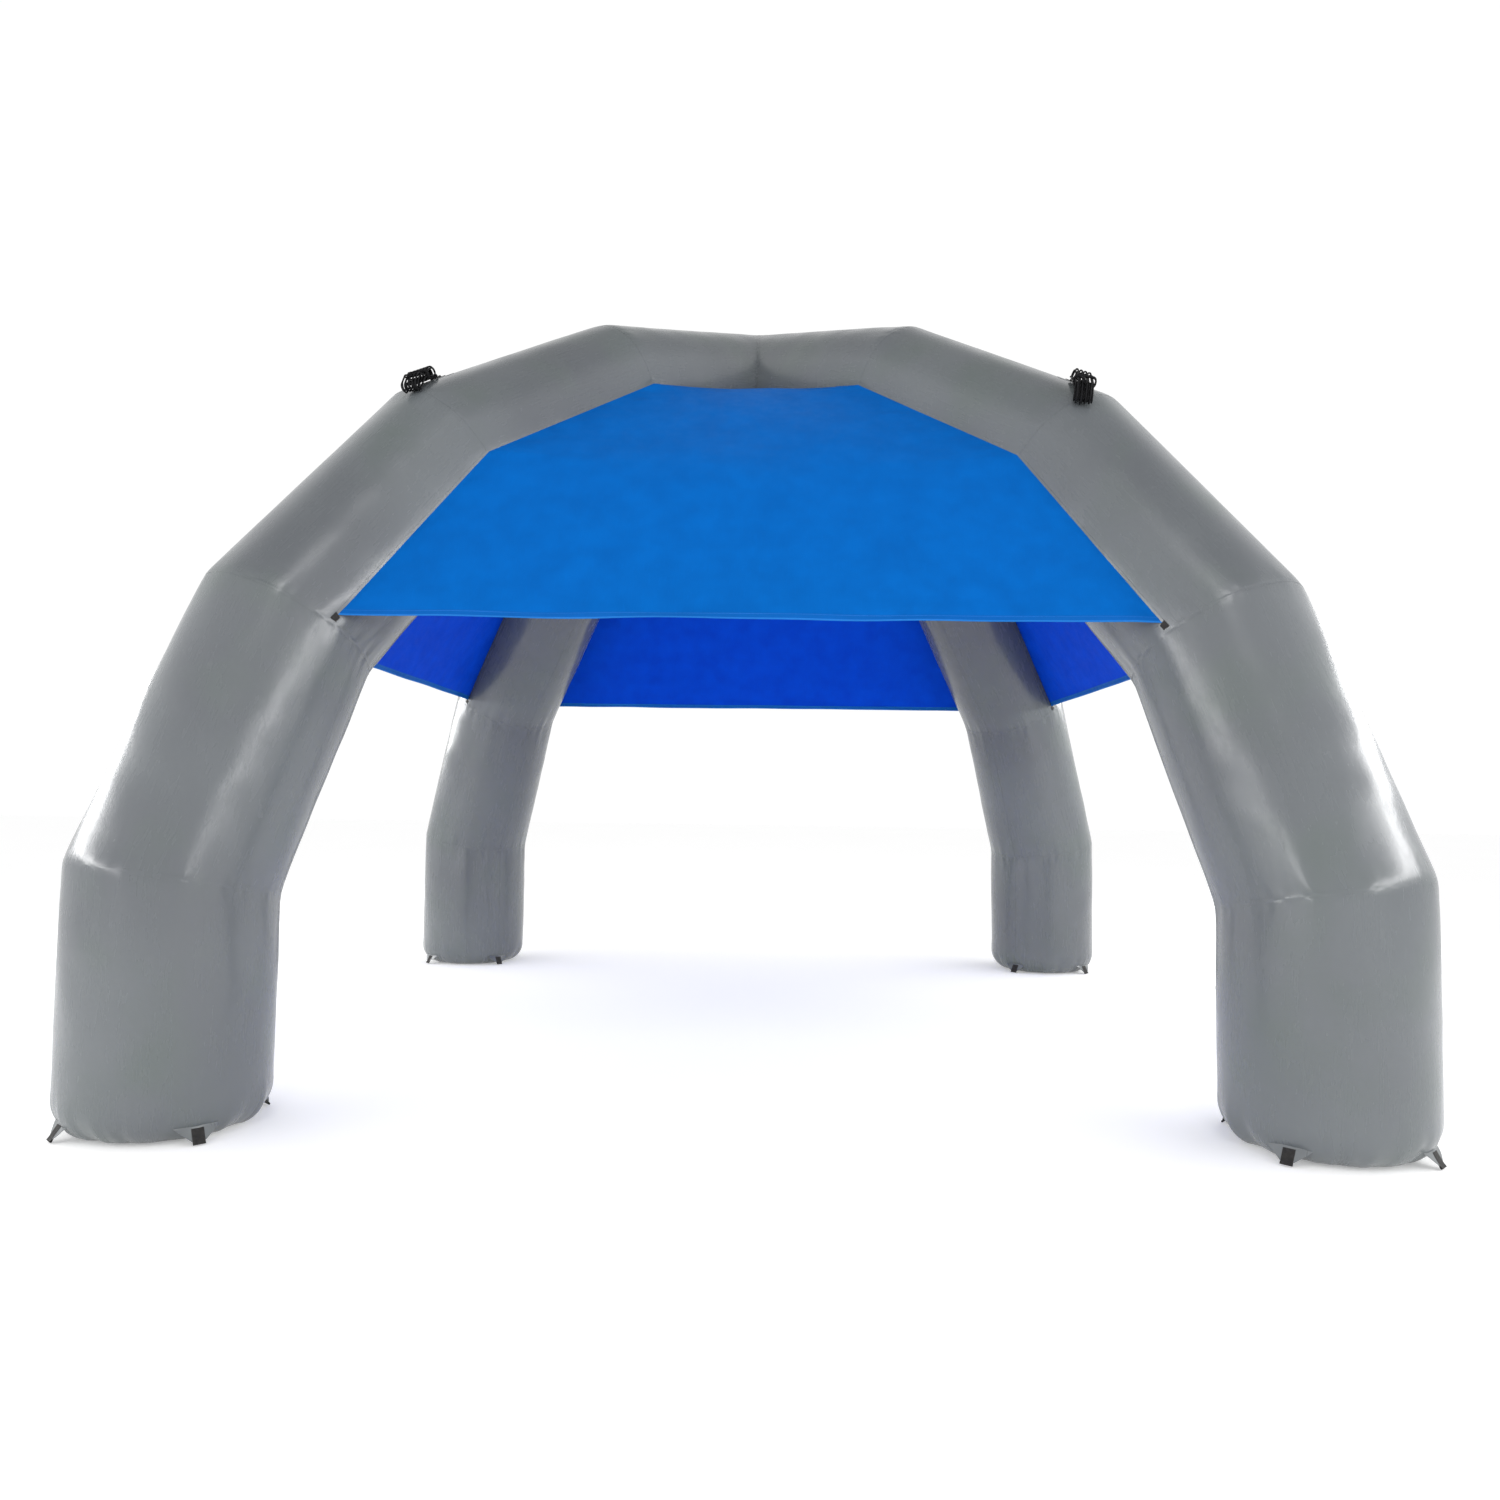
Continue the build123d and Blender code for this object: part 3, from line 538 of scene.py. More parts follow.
# ---- Materials ----------------------------------------------------------------------------------
class Material:
    """A Principled material and short ways to add the nodes that drive it."""

    def __init__(self, name, roughness=0.5, metallic=0.0, specular=0.5):
        self.material = bpy.data.materials.new(name)
        self.material.use_nodes = True
        self.tree = self.material.node_tree
        self.shader = self.tree.nodes["Principled BSDF"]
        self.shader.inputs["Roughness"].default_value = roughness
        self.shader.inputs["Metallic"].default_value = metallic
        self.shader.inputs["Specular IOR Level"].default_value = specular
        places = self.tree.nodes.new("ShaderNodeTexCoord")
        self.space, self.uv = places.outputs["Object"], places.outputs["UV"]

    def node(self, kind, inputs=(), **settings):
        made = self.tree.nodes.new("ShaderNode" + kind)
        for key, value in settings.items():
            setattr(made, key, value)
        for key, value in dict(inputs).items():
            if isinstance(value, bpy.types.NodeSocket):
                self.tree.links.new(value, made.inputs[key])
            else:
                made.inputs[key].default_value = value
        return made

    def noise(self, scale, detail=3.0, stretch=(1, 1, 1), source=None):
        mapped = self.node("Mapping", {"Vector": source or self.space, "Scale": stretch})
        made = self.node("TexNoise", {"Vector": mapped.outputs[0], "Scale": scale, "Detail": detail})
        return made.outputs["Fac"]

    def span(self, value, low, high, new_low, new_high):
        """The value, taken from one range to another and held inside it."""
        return self.node(
            "MapRange",
            {"Value": value, "From Min": low, "From Max": high, "To Min": new_low, "To Max": new_high},
        ).outputs["Result"]

    def math(self, operation, a, b=0.0):
        return self.node("Math", {0: a, 1: b}, operation=operation).outputs[0]

    def mix(self, share, a, b):
        made = self.tree.nodes.new("ShaderNodeMix")
        made.data_type = "RGBA"
        for socket, value in ((made.inputs[0], share), (made.inputs[6], a), (made.inputs[7], b)):
            if isinstance(value, bpy.types.NodeSocket):
                self.tree.links.new(value, socket)
            else:
                socket.default_value = value if not isinstance(value, tuple) else (*value, 1.0)
        return made.outputs[2]

    def weave(self, pitch):
        """A plain weave's height: threads pass over and under, pitch metres apart."""
        split = self.node("SeparateXYZ", {0: self.uv})
        warp = self.math("SINE", self.math("MULTIPLY", split.outputs[0], math.pi / pitch))
        weft = self.math("SINE", self.math("MULTIPLY", split.outputs[1], math.pi / pitch))
        return self.math("MULTIPLY", warp, weft)

    def bump(self, height, strength, distance, before=None):
        inputs = {"Height": height, "Strength": strength, "Distance": distance}
        if before is not None:
            inputs["Normal"] = before
        return self.node("Bump", inputs).outputs["Normal"]

    def apply(self, colour, roughness=None, normal=None):
        for key, value in (("Base Color", colour), ("Roughness", roughness), ("Normal", normal)):
            if value is not None:
                self.tree.links.new(value, self.shader.inputs[key])
        return self.material


def pvc(name, light, dark, tint, roughness):
    """Coated tarpaulin: a faint scrim under the coating, blotches, scuffs and a satin gloss."""
    m = Material(name, specular=0.62)
    colour = m.mix(m.span(m.noise(0.9, 2), 0.35, 0.65, 0, 1), dark, light)
    colour = m.mix(m.span(m.noise(2.3, 3), 0.50, 0.72, 0, 0.6), colour, tint)
    scuffs = m.span(m.noise(34, 6, (1, 1, 0.35)), 0.60, 0.80, 0, 0.04)
    colour = m.mix(scuffs, colour, (0.30, 0.31, 0.31))
    streaks = m.noise(46, 4, (1, 0.12, 1), source=m.uv)
    rough = m.span(m.noise(7, 5, (1, 1, 0.4)), 0.3, 0.7, roughness - 0.04, roughness + 0.06)
    rough = m.math("ADD", rough, m.span(streaks, 0.35, 0.7, 0, 0.05))
    normal = m.bump(m.noise(5.5, 3), 0.22, 0.006)
    normal = m.bump(streaks, 0.04, 0.0010, normal)
    normal = m.bump(m.weave(0.0022), 0.05, 0.0004, normal)
    return m.apply(colour, m.math("ADD", rough, scuffs), normal)


def cloth(name, light, dark, pitch, roughness):
    """Woven polyester: threads, a slight mottle and faint horizontal slubs."""
    m = Material(name, specular=0.04)
    colour = m.mix(m.span(m.noise(7, 5), 0.32, 0.68, 0, 1), dark, light)
    slubs = m.span(m.noise(160, 3, (1, 0.06, 1), source=m.uv), 0.55, 0.8, 0, 0.25)
    colour = m.mix(slubs, colour, tuple(min(c * 1.25, 1) for c in light))
    normal = m.bump(m.noise(13, 3), 0.16, 0.004)
    normal = m.bump(m.weave(pitch), 0.22, 0.0005, normal)
    return m.apply(colour, m.span(m.noise(20, 3), 0.3, 0.7, roughness - 0.05, roughness + 0.07), normal)


def hem_tape(name, light, dark, edge):
    """A folded hem: ribbed tape with two rows of stitches, and a painted highlight along its lower edge,
    where the fold catches the light.
    """
    m = Material(name, specular=0.08)
    split = m.node("SeparateXYZ", {0: m.uv})
    up, along = split.outputs[1], split.outputs[0]
    colour = m.mix(m.noise(14, 4), dark, light)
    # Painted highlight: the lowest 9 mm take the lighter edge colour, standing in for light on the fold.
    colour = m.mix(m.math("LESS_THAN", up, 0.009), colour, edge)
    stitch = m.math("GREATER_THAN", m.math("SINE", m.math("MULTIPLY", along, 2 * math.pi / 0.006)), -0.3)
    row = 0.0
    for level in (0.007, 0.033):
        near = m.math("LESS_THAN", m.math("ABSOLUTE", m.math("SUBTRACT", up, level)), 0.0008)
        row = m.math("ADD", row, near)
    thread = m.math("MULTIPLY", row, stitch)
    colour = m.mix(thread, colour, tuple(min(c * 1.6 + 0.04, 1) for c in light))
    ribs = m.math("SINE", m.math("MULTIPLY", up, 2 * math.pi / 0.0024))
    normal = m.bump(m.weave(0.0016), 0.25, 0.0005)
    normal = m.bump(m.math("ADD", thread, m.math("MULTIPLY", ribs, 0.2)), 0.5, 0.0008, normal)
    return m.apply(colour, m.span(m.noise(30), 0.3, 0.7, 0.5, 0.65), normal)


def webbing(name, light, dark):
    """Herringbone webbing: diagonal ribs that turn at the middle, with worn high threads."""
    m = Material(name, specular=0.3)
    split = m.node("SeparateXYZ", {0: m.uv})
    slant = m.math("ADD", m.math("ABSOLUTE", split.outputs[0]), split.outputs[1])
    ribs = m.math("SINE", m.math("MULTIPLY", slant, 2 * math.pi / 0.0036))
    colour = m.mix(m.span(m.noise(60, 4), 0.35, 0.7, 0, 1), dark, light)
    colour = m.mix(m.span(ribs, 0.6, 1.0, 0, 0.3), colour, tuple(c * 2 + 0.02 for c in light))
    return m.apply(colour, m.span(ribs, -1, 1, 0.72, 0.55), m.bump(ribs, 0.6, 0.0007))


def rope_material(name, light, dark):
    """Braided polyester rope: fine crossing plaits with a slight sheen and dusty high points."""
    m = Material(name, specular=0.18)
    plait = m.node("TexVoronoi", {"Vector": m.space, "Scale": 380.0})
    strands = m.noise(300, 2, (1, 1, 0.5))
    colour = m.mix(m.span(m.noise(40, 4), 0.4, 0.7, 0, 1), dark, light)
    worn = m.span(plait.outputs["Distance"], 0.0, 0.35, 0.35, 0)
    colour = m.mix(worn, colour, tuple(c * 2.2 for c in light))
    normal = m.bump(plait.outputs["Distance"], 0.55, 0.0009)
    return m.apply(colour, m.span(strands, 0.3, 0.7, 0.65, 0.85), m.bump(strands, 0.3, 0.0005, normal))


def steel(name, colour, roughness):
    """Drawn and welded wire: fine scratches and dull patches."""
    m = Material(name, metallic=1.0)
    scratches = m.noise(420, 5, (1, 1, 0.12))
    shade = m.mix(m.span(m.noise(55, 4), 0.35, 0.7, 0, 0.6), colour, tuple(c * 0.62 for c in colour))
    rough = m.span(scratches, 0.3, 0.7, roughness - 0.08, roughness + 0.12)
    return m.apply(shade, rough, m.bump(scratches, 0.12, 0.0002))


def plastic(name, colour, roughness=0.42):
    """Moulded plastic: a fine spark texture, with slightly paler rubbed places."""
    m = Material(name)
    rubbed = m.span(m.noise(85, 5), 0.58, 0.75, 0, 0.3)
    shade = m.mix(rubbed, colour, tuple(min(c * 1.5 + 0.03, 1) for c in colour))
    grain = m.noise(1400, 2)
    rough = m.math("ADD", m.span(grain, 0.3, 0.7, roughness, roughness + 0.1), rubbed)
    return m.apply(shade, rough, m.bump(grain, 0.2, 0.00015))


GREY = pvc("grey_pvc", (0.127, 0.140, 0.149), (0.104, 0.113, 0.124), (0.106, 0.127, 0.121), 0.23)
PATCH = pvc("grey_pvc_patch", (0.150, 0.162, 0.170), (0.128, 0.138, 0.146), (0.134, 0.148, 0.148), 0.28)
BLUE = cloth("blue_canopy", (0.0003, 0.117, 0.460), (0.0003, 0.101, 0.405), 0.0011, 0.55)
# The canopy's inner face: the coated side's deeper blue, with its blue raised as painted glow that stands in
# for light shining through the cloth.
INNER_BLUE_AND_GLOW = cloth("blue_canopy_inner_and_painted_glow", (0.0003, 0.068, 0.640), (0.0003, 0.054, 0.560), 0.0011, 0.62)
# The hem's last colour is its painted highlight, a lighter blue along the folded lower edge.
HEM = hem_tape("blue_hem_tape", (0.001, 0.112, 0.440), (0.001, 0.095, 0.380), (0.012, 0.165, 0.540))
BLACK_WEBBING = webbing("black_webbing", (0.030, 0.028, 0.027), (0.014, 0.013, 0.013))
ROPE_BLACK = rope_material("black_rope", (0.006, 0.006, 0.007), (0.003, 0.003, 0.004))
RING_STEEL = steel("ring_steel", (0.200, 0.198, 0.194), 0.42)
SPRING_STEEL = steel("spring_steel", (0.480, 0.490, 0.500), 0.26)
DARK_PLASTIC = plastic("valve_plastic", (0.022, 0.023, 0.025))
LIGHT_PLASTIC = plastic("valve_light_plastic", (0.300, 0.305, 0.310))
LEASH = plastic("leash_plastic", (0.050, 0.052, 0.055), 0.50)

for rope in ropes:
    rope.data.materials.append(ROPE_BLACK)

KEPT_NODES = {
    BLACK_WEBBING: ("guy_ring_keepers",),
    RING_STEEL: tuple(f"{leg}_guy_ring" for leg in LEG_ANGLES),
    SPRING_STEEL: ("inflation_valve_spring", "relief_valve_spring"),
    PATCH: ("valve_patches",),
    DARK_PLASTIC: ("inflation_valve_body", "relief_valve_body", "valve_backing_nuts", "inflation_valve_cap"),
    LIGHT_PLASTIC: ("inflation_valve_poppet", "relief_valve_poppet", "relief_valve_cover"),
    LEASH: ("inflation_cap_leash",),
}
for material, names in KEPT_NODES.items():
    for name in names:
        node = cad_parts[name]
        node.data.materials.clear()
        node.data.materials.append(material)


# ---- Legs ---------------------------------------------------------------------------------------
ROUND = np.linspace(0, 2 * math.pi, 181)[:-1] + math.radians(1)
SEAM_STEPS = (0.0, 0.006, 0.014, 0.024, 0.036, 0.052, 0.072, 0.098, 0.13, 0.17, 0.22, 0.28, 0.35)
LINER_DEPTH = 0.008  # the skin is modelled hollow; its inside face lies this deep, out of sight
TAPE = 0.0008
TAPE_HALF_WIDTH = 0.012
TAPE_STEP = 0.004
PATCH_LIFT = 0.0012
LAP = 0.0009
LAP_HALF_WIDTH = 0.012
LAP_END = 0.014  # the lap weld stops this far from a bend
LAP_ANGLE = -90  # it runs down the inner face, and beside the valves where it meets them
LAP_ANGLE_BESIDE_VALVES = -66
STRIP_BREAK = 0.001  # rows of a strip stay this far off a seam
BEDDED = 0.0002  # the underside of what is welded on stands this far off the fabric
THIN_BEDDED = 0.0001


def clear_of_valves(centres):
    """Leaves the fabric open behind the valves' patches."""
    valve_plane = turn([(LEG_REACH - FOOT_RADIUS, 0, 0)], LEG_ANGLES[VALVE_LEG])[0]
    flat = np.hypot(centres[:, 0] - valve_plane[0], centres[:, 1] - valve_plane[1])
    near = [np.hypot(flat, centres[:, 2] - height) < VALVE_OPENING for height in VALVE_HEIGHTS]
    return ~(near[0] | near[1])


def make_tube(leg, k):
    build = Build()
    outer, uv = tube_rows(leg, k, ROUND, 0.0, SEAM_STEPS, 24)
    inner, inner_uv = tube_rows(leg, k, ROUND, -LINER_DEPTH, (0.0, 0.35), 1)
    build.band(outer, inner, uv, inner_uv)
    keep = clear_of_valves if leg == VALVE_LEG and k == 0 else None
    piece = build.finish(f"{leg}_{TUBE_NAMES[k]}_skin", [GREY], keep=keep)
    add(piece, ROOT, "grey_pvc", f"{leg}_{TUBE_NAMES[k]}")


def make_foot(leg):
    """The rounded bottom of a foot, gathered round its rim, standing on a flat disc."""
    arc = np.radians(np.linspace(90, 0, 12))
    profile = [(FOOT_RADIUS, FOOT_CAP_HEIGHT), (FOOT_RADIUS, FOOT_CAP_HEIGHT - 0.010)]
    corner = FOOT_RADIUS - FOOT_ROUNDING
    profile += [(corner + FOOT_ROUNDING * math.sin(a), FOOT_ROUNDING * (1 - math.cos(a))) for a in arc]
    profile += [(r, 0.0) for r in (0.25, 0.18, 0.10, 0.02)]
    rows, uvs, run = [], [], 0.0
    for i, (radius, height) in enumerate(profile):
        if i:
            run += math.dist(profile[i], profile[i - 1])
        gather = foot_pucker(leg, height, ROUND) * min(height / 0.012, 1)
        base = np.stack([LEG_REACH + radius * np.sin(ROUND), radius * np.cos(ROUND), height + 0 * ROUND], -1)
        edge = np.clip((height - 0.02) / (FOOT_CAP_HEIGHT - 0.02), 0, 1)
        gather = gather + edge * unevenness(leg, base)
        slope = np.clip((radius - corner) / FOOT_ROUNDING, 0, 1)
        drop = -math.sqrt(max(1 - slope**2, 0))
        grown = radius + gather * slope
        level = np.maximum(height + gather * drop, 0)
        row = np.stack([LEG_REACH + grown * np.sin(ROUND), grown * np.cos(ROUND), level], -1)
        rows.append(turn(row, LEG_ANGLES[leg]))
        uvs.append(np.stack([ROUND * FOOT_RADIUS, -run + 0 * ROUND], -1))
    build = Build()
    outer, uv = np.stack(rows)[::-1], np.stack(uvs)[::-1]
    lift = np.array([0, 0, LINER_DEPTH])
    centre = turn([(LEG_REACH, 0, 0)], LEG_ANGLES[leg])[0]
    inner = outer + (centre - outer) * (LINER_DEPTH / FOOT_RADIUS * np.array([1, 1, 0]))
    inner = inner + lift * (outer[..., 2:] < FOOT_ROUNDING)
    build.band(outer, inner, uv, uv)
    add(build.finish(f"{leg}_foot_cap_skin", [GREY]), ROOT, "grey_pvc", f"{leg}_foot_cap")


def make_seam_tapes():
    """Welded tapes over every bend, and along the valleys where the tubes meet at the crown."""
    build = Build()
    steps = np.array([0.0, TAPE_STEP, 2 * TAPE_STEP, TAPE_HALF_WIDTH])
    for leg in LEG_ANGLES:
        for k in range(len(SEAMS) - 1):
            last = k == CROWN_TUBE
            faces = []
            for offset in (TAPE, BEDDED):
                below = stack(leg, k, steps[::-1], ROUND, offset, from_top=True)
                above = below[:0] if last else stack(leg, k + 1, steps[1:], ROUND, offset)
                faces.append(np.concatenate([below, above]))
            run = np.arange(len(faces[0])) * 2 * TAPE_STEP
            uv = np.stack(np.meshgrid(run, ROUND * FOOT_RADIUS, indexing="ij")[::-1], -1)
            build.band(*faces, uv, uv)
    add(build.finish("bend_weld_tapes", [GREY]), ROOT, "grey_pvc")


def strip(build, leg, tubes, line, sides, high, low, ends):
    """A strip along the leg, over some tubes one after another. Its line is given as an angle for
    a tube and a share of its length, and its sides as distances from that line."""
    across = np.linspace(*sides, 7)
    faces = []
    for offset in (high, low):
        rows, run = [], []
        for k in tubes:
            lines = line(k, MEETING_SHARE) + across / SEAMS[k].side
            length = tube_surface(leg, k, 0 * lines, lines)[1]
            begin = ends[0] if k == tubes[0] else STRIP_BREAK
            end = ends[1] if k == tubes[-1] else STRIP_BREAK
            for s in np.linspace(0, 1, 26):
                gap = begin + (length - begin - end) * s
                lines = line(k, gap / TUBE_LENGTH) + across / SEAMS[k].side
                rows.append(tube_surface(leg, k, gap, lines, offset)[0])
                run.append(k * TUBE_LENGTH + gap)
        faces.append(np.stack(rows))
    uv = np.stack([np.broadcast_to(across, faces[0].shape[:2]), np.stack(run)], -1)
    build.slab(faces[0], faces[1], uv)


def make_long_seams():
    """The lap weld that closes each tube, down the inner face of every leg."""
    build = Build()
    for leg in LEG_ANGLES:
        for k in range(len(SEAMS) - 1):
            beside = leg == VALVE_LEG and k == 0
            angle = math.radians(LAP_ANGLE_BESIDE_VALVES if beside else LAP_ANGLE)
            sides = (LAP_HALF_WIDTH, -LAP_HALF_WIDTH)
            strip(build, leg, (k,), lambda k, share: angle, sides, LAP, THIN_BEDDED, (LAP_END, LAP_END))
    add(build.finish("tube_lap_welds", [GREY]), ROOT, "grey_pvc")


def make_guy_patches():
    build = Build()
    turns = np.linspace(0, 2 * math.pi, 49)[:-1]
    radii = np.array([0.001, 0.030, 0.060, 0.080, GUY_PATCH_RADIUS])
    for leg in LEG_ANGLES:
        faces = []
        for offset in (PATCH_LIFT, BEDDED):
            rows = []
            for radius in radii[::-1]:
                lines = math.pi / 2 + radius * np.sin(turns) / SEAMS[GUY_TUBE].side
                gap = GUY_DISTANCE + radius * np.cos(turns)
                rows.append(tube_surface(leg, GUY_TUBE, gap, lines, offset)[0])
            faces.append(np.stack(rows))
        uv = np.stack([radii[::-1, None] * np.cos(turns), radii[::-1, None] * np.sin(turns)], -1)
        build.band(*faces, uv, uv)
    add(build.finish("guy_point_patches", [PATCH]), ROOT, "grey_pvc_patch", "guy_patches")


for leg in LEG_ANGLES:
    make_foot(leg)
    for k in range(len(SEAMS) - 1):
        make_tube(leg, k)
make_seam_tapes()
make_long_seams()
make_guy_patches()


# ---- Anchor tabs round the feet -----------------------------------------------------------------
def at_foot(leg, azimuth, points):
    """From a foot's own frame, with its wall at +X, to the tent's."""
    return turn(turn(points, azimuth) + np.array([LEG_REACH, 0, 0]), LEG_ANGLES[leg])


def tab_point(along, across, above, curl, bulge):
    """A point on or off a tab, which hangs from its root on the foot's rounded edge. Bulge is how
    far the foot's fabric stands out at the root."""
    slope = math.radians(TAB_SLOPE)
    dip = math.asin(1 - TAB_ROOT_HEIGHT / FOOT_ROUNDING)
    rim = FOOT_ROUNDING + TAB_CLEARANCE
    wall = FOOT_RADIUS - FOOT_ROUNDING + rim * math.cos(dip)
    hold = np.clip(1 - along / 0.045, 0, 1) ** 2
    sag = (wall - np.sqrt(wall**2 - across**2) - bulge * math.cos(dip)) * hold
    lifted = above + curl * (along / TAB_LENGTH) ** 2
    x = wall - sag + along * math.cos(slope) + lifted * math.sin(slope)
    z = FOOT_ROUNDING - rim * math.sin(dip) - along * math.sin(slope) + lifted * math.cos(slope)
    return np.stack([x, across + 0 * x, z], -1)


def make_anchor_tabs():
    tabs, loops = Build(), Build()
    rng = np.random.default_rng(5)
    for leg in LEG_ANGLES:
        for azimuth in (0, 90, 180, 270):
            curl, twist = rng.uniform(-0.001, 0.006), rng.uniform(-0.06, 0.06)
            along = np.linspace(-0.004, TAB_LENGTH, 15)[:, None]
            taper = np.clip(along / TAB_LENGTH, 0, 1)
            half = (TAB_ROOT_WIDTH + (TAB_TIP_WIDTH - TAB_ROOT_WIDTH) * taper) / 2
            share = np.linspace(1, -1, 15)[None]
            across = half * share
            root = math.pi / 2 - math.radians(azimuth)
            bulge = foot_pucker(leg, TAB_ROOT_HEIGHT, root - np.arcsin(across / FOOT_RADIUS))
            wave = 0.0016 * np.sin(across * 52 + rng.uniform(0, 6)) * np.clip(along / 0.05, 0, 1)
            wave = wave + twist * across * taper
            faces = [
                at_foot(leg, azimuth, tab_point(along + 0 * across, across, wave + side, curl, bulge))
                for side in (TAB_THICKNESS / 2, -TAB_THICKNESS / 2)
            ]
            uv = np.stack([across, along + 0 * across], -1)
            tabs.slab(faces[0], faces[1], uv)
            middle = TAB_THICKNESS / 2 + LOOP_CLEARANCE
            end = TAB_LENGTH + LOOP_REACH - 0.004
            flat_end = end - 0.010
            bend = np.radians(np.linspace(90, -90, 9))
            route = [(a, middle) for a in np.linspace(LOOP_START, flat_end, 9)]
            route += [(end + LOOP_FOLD * math.cos(b), LOOP_FOLD * math.sin(b)) for b in bend]
            route += [(a, -middle) for a in np.linspace(flat_end, LOOP_BACK, 8)]
            path = np.array(route)
            heading = unit(np.gradient(path, axis=0))
            normal = np.stack([-heading[:, 1], heading[:, 0]], 1)
            wide = np.linspace(1, -1, 7)[None] * WEBBING_WIDTH / 2
            faces = []
            for side in (WEBBING / 2, -WEBBING / 2):
                p = path + normal * side
                tilt = twist * wide * np.clip(p[:, :1] / TAB_LENGTH, 0, 1)
                level = foot_pucker(leg, TAB_ROOT_HEIGHT, root - np.arcsin(wide / FOOT_RADIUS))
                points = tab_point(p[:, :1] + 0 * wide, wide + 0 * p[:, :1], p[:, 1:] + tilt, curl, level)
                faces.append(at_foot(leg, azimuth, points))
            run = np.concatenate([[0], np.cumsum(np.linalg.norm(np.diff(path, axis=0), axis=1))])
            uv = np.stack([wide + 0 * run[:, None], run[:, None] + 0 * wide], -1)
            loops.slab(faces[0], faces[1], uv)
    add(tabs.finish("foot_anchor_tabs", [PATCH]), ROOT, "grey_pvc_patch", "anchor_tabs")
    add(loops.finish("foot_anchor_webbing", [BLACK_WEBBING]), ROOT, "black_webbing", "anchor_webbing_loops")


make_anchor_tabs()


# ---- Canopy -------------------------------------------------------------------------------------
def canopy_line(side):
    """Gives the angle of the canopy's line on tube k, at a share of the tube's length."""

    def line(k, share):
        drop = (CROWN_CANOPY_ANGLE - CANOPY_ANGLE) * (k == CROWN_TUBE)
        angle = np.radians(CANOPY_ANGLE + drop * share)
        return angle if side > 0 else math.pi - angle

    return line


def canopy_edge(leg, side):
    """The line on a leg's tubes that a canopy panel is welded to, from the hem to the crown, the
    distance along it, and the distances above the hem's lower edge."""
    line = canopy_line(side)
    points, runs, done = [], [], 0.0
    for k in range(2, len(SEAMS) - 1):
        length = float(tube_surface(leg, k, np.array(0.0), np.array(line(k, MEETING_SHARE)))[1])
        begin = HEM_RISE if k == 2 else 0.0
        end = CROWN_SETBACK if k == CROWN_TUBE else 0.0
        gaps = np.linspace(begin, length - end, 38)
        if k == 2:
            gaps = np.concatenate([begin + HEM_STEPS[:-1], np.linspace(begin + HEM_WIDTH, length, 36)])
        else:
            gaps = gaps[1:]
        for gap in gaps:
            angle = np.array(line(k, gap / TUBE_LENGTH))
            points.append(tube_surface(leg, k, gap + 0 * angle, angle, 0.0008)[0])
            runs.append(done + gap - begin)
        done += length - begin
    return np.stack(points), np.array(runs)


def eased(line, run, reach):
    """The line with its corners rounded off over about reach metres."""
    before = line[0] + (line[0] - line[3]) / (run[0] - run[3]) * (np.linspace(-1.2, -0.03, 40)[:, None])
    after = line[-1] + (line[-1] - line[-3]) / (run[-1] - run[-3]) * (np.linspace(0.03, 1.2, 40)[:, None])
    whole = np.concatenate([before, line, after])
    at = np.concatenate([np.linspace(-1.2, -0.03, 40), run, run[-1] + np.linspace(0.03, 1.2, 40)])
    weight = np.exp(-0.5 * ((at[None] - run[:, None]) / reach) ** 2) * np.gradient(at)[None]
    return (weight / weight.sum(1, keepdims=True)) @ whole


def make_panel(name, build_hem):
    near_leg, far_leg = PANELS[name]
    near, run = canopy_edge(near_leg, 1)
    far = canopy_edge(far_leg, -1)[0]
    u = np.sin(np.linspace(-math.pi / 2, math.pi / 2, 141))
    share = ((1 + u) / 2)[None, :, None]
    soft = (1 - np.abs(u) ** 2.2)[None, :, None]
    near_soft, far_soft = eased(near, run, 0.30), eased(far, run, 0.30)
    left = near[:, None] * (1 - soft) + near_soft[:, None] * soft
    right = far[:, None] * (1 - soft) + far_soft[:, None] * soft
    sheet = left * (1 - share) + right * share
    width = np.linalg.norm(far - near, axis=1)[:, None]
    height = run[:, None]
    aside = (1 - np.abs(u))[None] * width / 2
    across = u[None] * width / 2
    seed = 900 + 10 * list(PANELS).index(name)
    flat = np.stack([across + 0 * height, height + 0 * across, 0 * across * height], -1)
    shift = -SAG * (1 - u**2)[None] * np.sin(np.pi * np.clip(height / run[-1], 0, 1)) * (width / width[0])
    shift = shift + 0.0040 * waves(flat, 0.75, seed) * np.clip(aside / 0.35, 0, 1)
    pull = waves(flat * np.array([0.35, 1.0, 1]), 0.085, seed + 1, 20)
    shift = shift + 0.0022 * pull * np.exp(-aside / 0.16) * np.clip(aside / 0.03, 0, 1)
    crease = waves(flat * np.array([0.12, 1.0, 1]), 0.070, seed + 2, 20)
    shift = shift + 0.0024 * crease * np.exp(-height / 0.30) * np.clip(aside / 0.10, 0, 1)
    shift = shift * np.clip(width / 0.4, 0, 1)
    out = unit(np.cross(np.gradient(sheet, axis=1), np.gradient(sheet, axis=0)))
    sheet = sheet + out * shift[..., None]
    out = unit(np.cross(np.gradient(sheet, axis=1), np.gradient(sheet, axis=0)))
    uv = np.stack([across + 0 * height, height + 0 * across], -1)
    sheet, out, uv = sheet[::-1], out[::-1], uv[::-1]

    build = Build()
    cloth_rows = slice(0, len(run) - 1)
    # The under face takes the inner blue, whose colour holds painted glow.
    build.slab(
        (sheet + out * CANOPY / 2)[cloth_rows], (sheet - out * CANOPY / 2)[cloth_rows], uv[cloth_rows], 0, 1
    )
    piece = build.finish(f"{name}_canopy", [BLUE, INNER_BLUE_AND_GLOW])
    add(piece, ROOT, "blue_canopy", f"{name}_canopy_panel")
    hem_rows = slice(len(run) - len(HEM_STEPS), len(run))
    half = HEM_THICKNESS / 2
    build_hem.slab((sheet + out * half)[hem_rows], (sheet - out * half)[hem_rows], uv[hem_rows])


